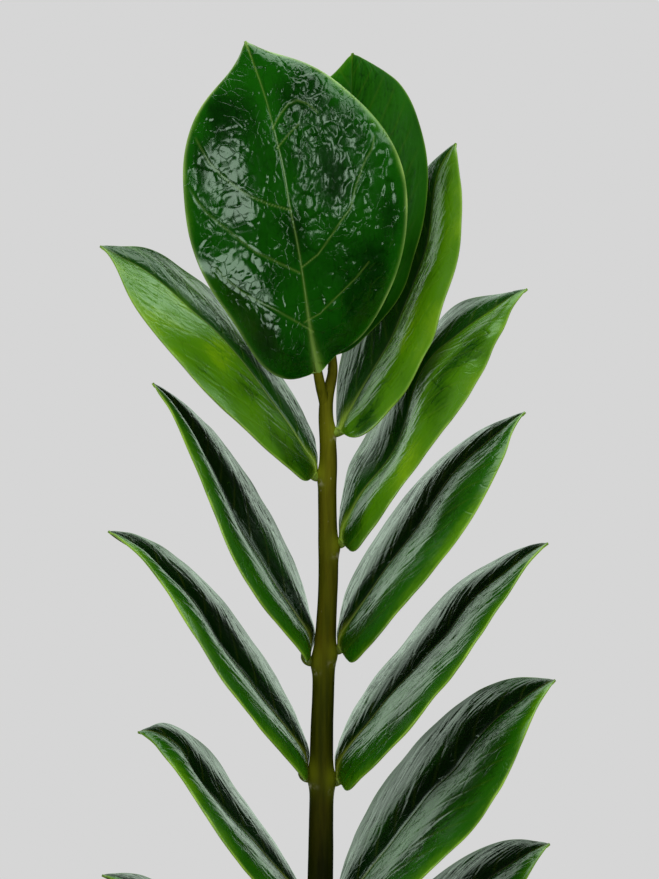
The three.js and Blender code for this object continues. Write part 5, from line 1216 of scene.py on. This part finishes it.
# ---------------------------------------------------------------- soil
def soil_material(name, dark, light, fleck, fleck_amount):
    m = Nodes(name)
    co = m.object_coords()
    a = m.noise(co, 130.0, 6.0, 0.65)
    b = m.noise(co, 900.0, 4.0, 0.6)
    colour = m.mix(m.remap(a, 0.3, 0.7), dark, light)
    colour = m.mix(m.math("MULTIPLY", m.remap(b, 0.5, 0.72), 0.6), colour, (0.10, 0.065, 0.04))
    bits = m.remap(m.voronoi(co, 560.0), 0.05, 0.17, 1.0, 0.0)
    bits = m.math("MULTIPLY", bits, m.remap(m.noise(co, 210.0, 2.0), 0.60 - fleck_amount, 0.68))
    colour = m.mix(m.math("MULTIPLY", bits, 0.7), colour, fleck)
    m.set(Base_Color=colour)
    m.set(Roughness=m.remap(b, 0.2, 0.8, 0.82, 1.0))
    m.shader.inputs["Specular IOR Level"].default_value = 0.22
    n = m.bump(b, 0.7, 0.0004)
    n = m.bump(m.noise(co, 2400.0, 3.0, 0.6), 0.5, 0.00015, n)
    m.set(Normal=n)
    return m.material


def soil_height(x, y):
    r = np.hypot(x, y)
    z = 103.9 + 1.1 * (0.5 + 0.5 * np.cos(np.pi * np.clip(r / 55, 0, 1)))
    z = z + 0.55 * value(x / 13, y / 13, 71) + 0.5 * value(x / 5.2, y / 5.2, 72)
    f1, f2, ra, rb, ox, oy = cells(x / 2.6, y / 2.6, 73)
    z = z + (0.75 - 1.3 * f1) * (0.3 + 0.9 * ra)
    g1, g2, ra, rb, ox, oy = cells(x / 1.15, y / 1.15, 74)
    z = z + 0.38 * (0.6 - g1) * (0.3 + ra)
    # drawn down a little where the tuber lifts the soil, and against the wall
    z = z - 1.2 * bell(r - 54.5, 2.2)
    near = np.hypot(x - 1.5, y - 0.5)
    return z + 1.6 * bell(near - 23.0, 5.0) - 9.0 * step(19.0 - near, 0, 3.0)


def inner_radius(z):
    return 39.2 + 18.6 * (z - 7) / 115 - 0.75


rings = np.concatenate([np.linspace(0.6, 53.0, 130), np.linspace(53.3, 54.15, 4)])
SEGS = 420
ang = np.linspace(0, 2 * np.pi, SEGS, endpoint=False)
Rr, Aa = np.meshgrid(rings, ang, indexing="ij")
X, Y = Rr * np.cos(Aa), Rr * np.sin(Aa)
Z = soil_height(X, Y)
lower = [(54.2, 101.5), (53.2, 97), (inner_radius(80), 80), (inner_radius(60), 60), (inner_radius(35), 35), (inner_radius(12), 12), (37.5, 7.5), (20, 7.5), (0.6, 7.5)]
extra = [np.stack([r_ * np.cos(ang), r_ * np.sin(ang), np.full(SEGS, z_)], -1) for r_, z_ in lower]
P = np.vstack([np.stack([X, Y, Z], -1).reshape(-1, 3)] + extra)
rows_ = len(rings) + len(lower)
quads = ring_faces(rows_, SEGS)
c0, c1 = len(P), len(P) + 1
P = np.vstack([P, [0, 0, float(Z[0].mean())], [0, 0, 7.5]])
k = np.arange(SEGS)
tris = np.vstack([np.stack([(k + 1) % SEGS, k, np.full(SEGS, c0)], -1),
                  np.stack([(rows_ - 1) * SEGS + k, (rows_ - 1) * SEGS + (k + 1) % SEGS, np.full(SEGS, c1)], -1)])
quads, tris = outward(P, quads, tris)
soil = new_mesh("potting_mix", P, quads, tris)
soil.data.materials.append(soil_material("soil", (0.012, 0.008, 0.005), (0.052, 0.033, 0.020), (0.30, 0.24, 0.17), 0.0))
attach(soil, "root")
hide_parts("soil")


def lumps(name, count, size, flat, seed, zlift):
    """Loose bits lying on the soil: each a small faceted lump."""
    rng = np.random.default_rng(seed)
    base = []
    n1, n2 = 7, 10
    for i in range(n1):
        th = math.pi * (i + 0.5) / n1
        for j in range(n2):
            ph = 2 * math.pi * (j + 0.5 * (i % 2)) / n2
            base.append((math.sin(th) * math.cos(ph), math.sin(th) * math.sin(ph), math.cos(th)))
    base = np.array(base + [(0, 0, 1), (0, 0, -1)])
    q = ring_faces(n1, n2)
    kk = np.arange(n2)
    t_ = np.vstack([np.stack([kk, (kk + 1) % n2, np.full(n2, n1 * n2)], -1),
                    np.stack([(n1 - 1) * n2 + (kk + 1) % n2, (n1 - 1) * n2 + kk, np.full(n2, n1 * n2 + 1)], -1)])
    P, Q, T = [], [], []
    made = 0
    while made < count:
        r, a = 53.5 * math.sqrt(rng.random()), 2 * math.pi * rng.random()
        x, y = r * math.cos(a), r * math.sin(a)
        s = size * (0.55 + 0.9 * rng.random() ** 2)
        if math.hypot(x - 1.5, y - 0.5) < 21.5 + s or r + s > 53.8:
            continue
        stretch = np.array([1.0, 0.62 + 0.35 * rng.random(), flat * (0.7 + 0.6 * rng.random())]) * s
        b = base * (1 + 0.26 * (rng.random((len(base), 1)) - 0.5)) * stretch
        yaw, tilt = 2 * math.pi * rng.random(), 0.5 * (rng.random() - 0.5)
        cy_, sy_, ct_, st_ = math.cos(yaw), math.sin(yaw), math.cos(tilt), math.sin(tilt)
        b = b @ np.array([[1, 0, 0], [0, ct_, st_], [0, -st_, ct_]]) @ np.array([[cy_, sy_, 0], [-sy_, cy_, 0], [0, 0, 1]])
        z = float(soil_height(np.array([x]), np.array([y]))[0]) + zlift * stretch[2]
        P.append(b + [x, y, z])
        Q.append(q + made * len(base))
        T.append(t_ + made * len(base))
        made += 1
    return new_mesh(name, np.vstack(P), *outward(np.vstack(P), np.vstack(Q), np.vstack(T)))


bark = lumps("bark_bits", 260, 1.9, 0.34, 81, 0.25)
bark.data.materials.append(soil_material("bark", (0.035, 0.016, 0.008), (0.12, 0.062, 0.030), (0.26, 0.17, 0.10), 0.05))
perlite = lumps("perlite_grains", 170, 1.05, 0.75, 82, 0.25)
perlite.data.materials.append(soil_material("perlite", (0.42, 0.40, 0.36), (0.66, 0.64, 0.60), (0.30, 0.27, 0.22), 0.1))
crumbs = lumps("peat_crumbs", 420, 1.3, 0.7, 83, 0.2)
crumbs.data.materials.append(soil_material("peat", (0.010, 0.007, 0.004), (0.045, 0.028, 0.017), (0.14, 0.10, 0.06), 0.0))
for ob in (bark, perlite, crumbs):
    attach(ob, "root")


# ---------------------------------------------------------------- tuber and dry sheath
def tuber_material():
    m = Nodes("rhizome")
    co = m.object_coords()
    a = m.noise(co, 95.0, 5.0, 0.6)
    b = m.noise(co, 800.0, 4.0, 0.6)
    rings_ = m.attribute("ring")
    colour = m.mix(m.remap(a, 0.3, 0.7), (0.20, 0.125, 0.055), (0.40, 0.28, 0.14))
    colour = m.mix(m.math("MULTIPLY", rings_, 0.6), colour, (0.10, 0.055, 0.022))
    colour = m.mix(m.math("MULTIPLY", m.remap(b, 0.5, 0.7), 0.35), colour, (0.50, 0.40, 0.25))
    soily = m.math("MULTIPLY", m.attribute("dirt"), m.remap(b, 0.3, 0.6))
    colour = m.mix(soily, colour, (0.035, 0.022, 0.013))
    m.set(Base_Color=colour)
    m.set(Roughness=m.remap(a, 0.2, 0.8, 0.5, 0.78))
    n = m.bump(b, 0.5, 0.0002)
    m.set(Normal=n)
    return m.material


def tuber():
    n1, n2 = 110, 150
    th = np.linspace(0.03, math.pi - 0.03, n1)[:, None]
    ph = np.linspace(0, 2 * np.pi, n2, endpoint=False)[None, :]
    x, y, z = np.sin(th) * np.cos(ph), np.sin(th) * np.sin(ph), np.cos(th) + 0 * ph
    lump = 1 + 0.045 * np.sin(3 * x + 1) * np.cos(2.5 * y) + 0.03 * np.sin(5 * z + 2 * x)
    lump = lump + 0.018 * value(3.5 * x + 5, 3.5 * y + z, 91) + 0.008 * value(11 * x, 11 * y + 6 * z, 92)
    turns = z * 7.5 + 0.5 * value(2 * x, 2 * y, 93)
    ring = bell(turns - np.floor(turns) - 0.5, 0.10)
    lump = lump - 0.010 * ring
    P = np.stack([x * lump * 19.4 + 1.5, y * lump * 16.9 + 0.5, z * lump * 16.9 + 94.5], -1)
    crown = 109.55 + 0.25 * value(P[..., 0] / 2.2, P[..., 1] / 2.2, 94)
    P[..., 2] = np.where(P[..., 2] > crown - 0.4, crown - 0.4 + 0.4 * np.tanh((P[..., 2] - crown + 0.4) / 0.4), P[..., 2])
    pts = P.reshape(-1, 3)
    q = ring_faces(n1, n2)
    c0, c1 = len(pts), len(pts) + 1
    pts = np.vstack([pts, P[0].mean(0), P[-1].mean(0)])
    kk = np.arange(n2)
    t_ = np.vstack([np.stack([(kk + 1) % n2, kk, np.full(n2, c0)], -1),
                    np.stack([(n1 - 1) * n2 + kk, (n1 - 1) * n2 + (kk + 1) % n2, np.full(n2, c1)], -1)])
    q, t_ = outward(pts, q, t_)
    ob = new_mesh("tuber", pts, q, t_)
    set_float(ob, "ring", np.concatenate([ring.ravel(), [0, 0]]))
    set_float(ob, "dirt", np.clip((107.5 - pts[:, 2]) / 4 + 0.35, 0, 1))
    ob.data.materials.append(tuber_material())
    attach(ob, "root")
    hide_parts("rhizome")


tuber()


def sheath_material():
    m = Nodes("sheath")
    co = m.object_coords()
    fibre = m.noise(m.stretch(co, (1.0, 1.0, 0.08)), 1100.0, 4.0, 0.6)
    blot = m.noise(co, 160.0, 4.0, 0.6)
    colour = m.mix(m.remap(fibre, 0.3, 0.7), (0.22, 0.135, 0.062), (0.46, 0.33, 0.18))
    colour = m.mix(m.math("MULTIPLY", m.remap(blot, 0.5, 0.72), 0.6), colour, (0.12, 0.062, 0.026))
    colour = m.mix(m.math("MULTIPLY", m.attribute("edge"), 0.6), colour, (0.56, 0.46, 0.30))
    m.set(Base_Color=colour)
    m.set(Roughness=m.remap(blot, 0.2, 0.8, 0.6, 0.85))
    n = m.bump(fibre, 0.6, 0.00015)
    m.set(Normal=n)
    return m.material


def sheath():
    around, up = 260, 60
    v = np.linspace(0, 1, around)[:, None]
    w = np.linspace(0, 1, up)[None, :]
    a = 0.9 + 0.62 + v * (2 * math.pi - 1.24)
    height = 30 * (0.35 + 0.65 * np.clip(np.sin(np.pi * v), 0, 1) ** 1.2)
    height = height - 1.2 - 1.6 * np.abs(value(v * 46, 0.0, 95)) - 0.9 * np.abs(value(v * 120, 0.0, 96))
    z = 111.25 + height * w
    table = np.array(STALK)
    cx, cy, r0 = (np.interp(z, table[:, 0], table[:, k_]) for k_ in (1, 2, 3))
    r = r0 + 0.62 + 1.6 * w**2 * (0.4 + 0.6 * np.sin(7 * v) ** 2)
    r = r + (0.10 + 0.28 * w) * value(v * 30, w * 1.3, 97) * 0.8 + 0.06 * value(v * 90, w * 2, 98)
    t_ = 0.34 * (1 - 0.55 * w)
    inner = np.stack([cx + r * np.cos(a), cy + r * np.sin(a), z], -1)
    outer_ = np.stack([cx + (r + t_) * np.cos(a), cy + (r + t_) * np.sin(a), z], -1)
    pts = np.concatenate([inner.reshape(-1, 3), outer_.reshape(-1, 3)])
    half = around * up
    i, j = np.meshgrid(np.arange(around - 1), np.arange(up - 1), indexing="ij")
    aa = (i * up + j).ravel()
    q = [np.stack([aa, aa + 1, aa + 1 + up, aa + up], -1), np.stack([half + aa, half + aa + up, half + aa + 1 + up, half + aa + 1], -1)]
    e = np.arange(around - 1) * up
    q.append(np.stack([e, e + up, half + e + up, half + e], -1))
    e = e + up - 1
    q.append(np.stack([e, half + e, half + e + up, e + up], -1))
    e = np.arange(up - 1)
    q.append(np.stack([e, half + e, half + e + 1, e + 1], -1))
    e = e + (around - 1) * up
    q.append(np.stack([e, e + 1, half + e + 1, half + e], -1))
    q, t2 = outward(pts, np.vstack(q), np.zeros((0, 3), int))
    ob = new_mesh("dry_sheath", pts, q, t2)
    edge = np.broadcast_to(step(w, 0.86, 1.0), (around, up)).ravel()
    set_float(ob, "edge", np.concatenate([edge, edge]))
    ob.data.materials.append(sheath_material())
    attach(ob, "root")
    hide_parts("basal_sheath")


sheath()


# ---------------------------------------------------------------- floor, light
def floor():
    n = 128
    th = np.linspace(0, 2 * np.pi, n, endpoint=False)
    R = np.array([0.001, 200, 500, 900, 1190])[:, None]
    P = np.stack([R * np.cos(th), R * np.sin(th), 0 * th + 0 * R - 0.02], -1).reshape(-1, 3)
    P = np.vstack([P, [0, 0, -0.02]])
    q = ring_faces(5, n)[:, ::-1]
    ob = new_mesh("floor", P, q)
    me = ob.data
    m = Nodes("floor")
    spread = m.noise(m.object_coords(), 6.0, 3.0, 0.5)
    m.set(Base_Color=m.mix(m.remap(spread, 0.2, 0.8), (0.60, 0.60, 0.60), (0.64, 0.64, 0.635)))
    m.shader.inputs["Roughness"].default_value = 0.9
    me.materials.append(m.material)
    ob.visible_glossy = False


floor()

# The room: a plain grey backdrop; soft even light for the matt part of each surface; and for the
# gloss a bright wall behind, dark sides and front, with softboxes.
world = bpy.data.worlds.new("studio")
bpy.context.scene.world = world
world.use_nodes = True
world.cycles.sampling_method = "NONE"
wt = world.node_tree
wt.nodes.clear()


def wnode(kind, **settings):
    node = wt.nodes.new(kind)
    for key, val in settings.items():
        setattr(node, key, val)
    return node


def wlink(source, node, index):
    wt.links.new(source, node.inputs[index])


def wramp(source, a, b, c, d):
    node = wnode("ShaderNodeMapRange", interpolation_type="SMOOTHSTEP")
    wlink(source, node, 0)
    for i, val in ((1, a), (2, b), (3, c), (4, d)):
        node.inputs[i].default_value = val
    return node.outputs[0]


def wmath(op, a, b):
    node = wnode("ShaderNodeMath", operation=op)
    for i, val in enumerate((a, b)):
        if hasattr(val, "is_output"):
            wlink(val, node, i)
        else:
            node.inputs[i].default_value = val
    return node.outputs[0]


wout = wnode("ShaderNodeOutputWorld")
backdrop, soft, shine = (wnode("ShaderNodeBackground") for _ in range(3))
backdrop.inputs["Color"].default_value = (0.672, 0.672, 0.672, 1)
shine.inputs["Color"].default_value = (0.80, 1.0, 0.82, 1)
path = wnode("ShaderNodeLightPath")
coords = wnode("ShaderNodeTexCoord")
split = wnode("ShaderNodeSeparateXYZ")
wlink(coords.outputs["Generated"], split, 0)
X_, Y_, Z_ = split.outputs
wall = wramp(wmath("SUBTRACT", wmath("MULTIPLY", Y_, 0.978), wmath("MULTIPLY", X_, 0.26)), 0.56, 0.67, 0.0, 1.15)
ceiling = wramp(Z_, 0.84, 0.90, 0.0, 3.2)
dim = wramp(Y_, -1.0, 0.6, 0.015, 0.035)
level = wmath("MAXIMUM", wmath("MAXIMUM", wall, ceiling), dim)
level = wmath("MULTIPLY", level, wramp(Z_, -0.55, -0.15, 0.12, 1.0))
wlink(level, shine, 1)
wlink(wramp(Z_, -1.0, 1.0, 0.35, 0.95), soft, 1)
first, second = wnode("ShaderNodeMixShader"), wnode("ShaderNodeMixShader")
wlink(path.outputs["Is Glossy Ray"], first, 0)
wlink(soft.outputs[0], first, 1)
wlink(shine.outputs[0], first, 2)
wlink(path.outputs["Is Camera Ray"], second, 0)
wlink(first.outputs[0], second, 1)
wlink(backdrop.outputs[0], second, 2)
wlink(second.outputs[0], wout, 0)

AIM = (0.0, 0.0, 0.40)


def softbox(name, azimuth, elevation, distance, size, radiance, gloss=True, matt=True):
    """A rectangular light. azimuth 0 is towards -Y, and grows to the right."""
    from mathutils import Vector
    data = bpy.data.lights.new(name, "AREA")
    data.shape = "RECTANGLE"
    data.size, data.size_y = size
    data.energy = radiance * math.pi * size[0] * size[1]
    data.color = (1.0, 1.0, 1.0) if not gloss else (0.76, 1.0, 0.80)
    ob = bpy.data.objects.new(name, data)
    bpy.context.scene.collection.objects.link(ob)
    a, e = math.radians(azimuth), math.radians(elevation)
    away = Vector((math.sin(a) * math.cos(e), -math.cos(a) * math.cos(e), math.sin(e)))
    ob.location = Vector(AIM) + away * distance
    ob.rotation_euler = (-away).to_track_quat("-Z", "Y").to_euler()
    ob.visible_camera = False
    ob.visible_glossy = gloss
    ob.visible_diffuse = matt
    return ob


softbox("left_box_high", -40, -8, 1.2, (0.62, 0.30), 5.4, matt=False)
softbox("left_box_low", -60, -40, 1.2, (0.72, 0.34), 5.4, matt=False)
for i, (azimuth, wide) in enumerate(((15, 0.11), (41, 0.15))):
    softbox("right_strip_%d" % i, azimuth, 5, 1.2, (wide, 0.72), 6.0, matt=False)
softbox("far_left", 108, 52, 1.2, (0.60, 0.42), 4.2, matt=False)
softbox("right_edge", 65, 38, 1.2, (0.30, 0.80), 3.0, matt=False)
softbox("key", -35, 50, 1.4, (0.9, 0.9), 4.2, gloss=False)
softbox("fill", 45, 15, 1.4, (0.9, 0.9), 2.2, gloss=False)

view = bpy.context.scene.view_settings
view.view_transform = "Standard"
view.look = "None"
view.exposure = 0.0
view.gamma = 1.0
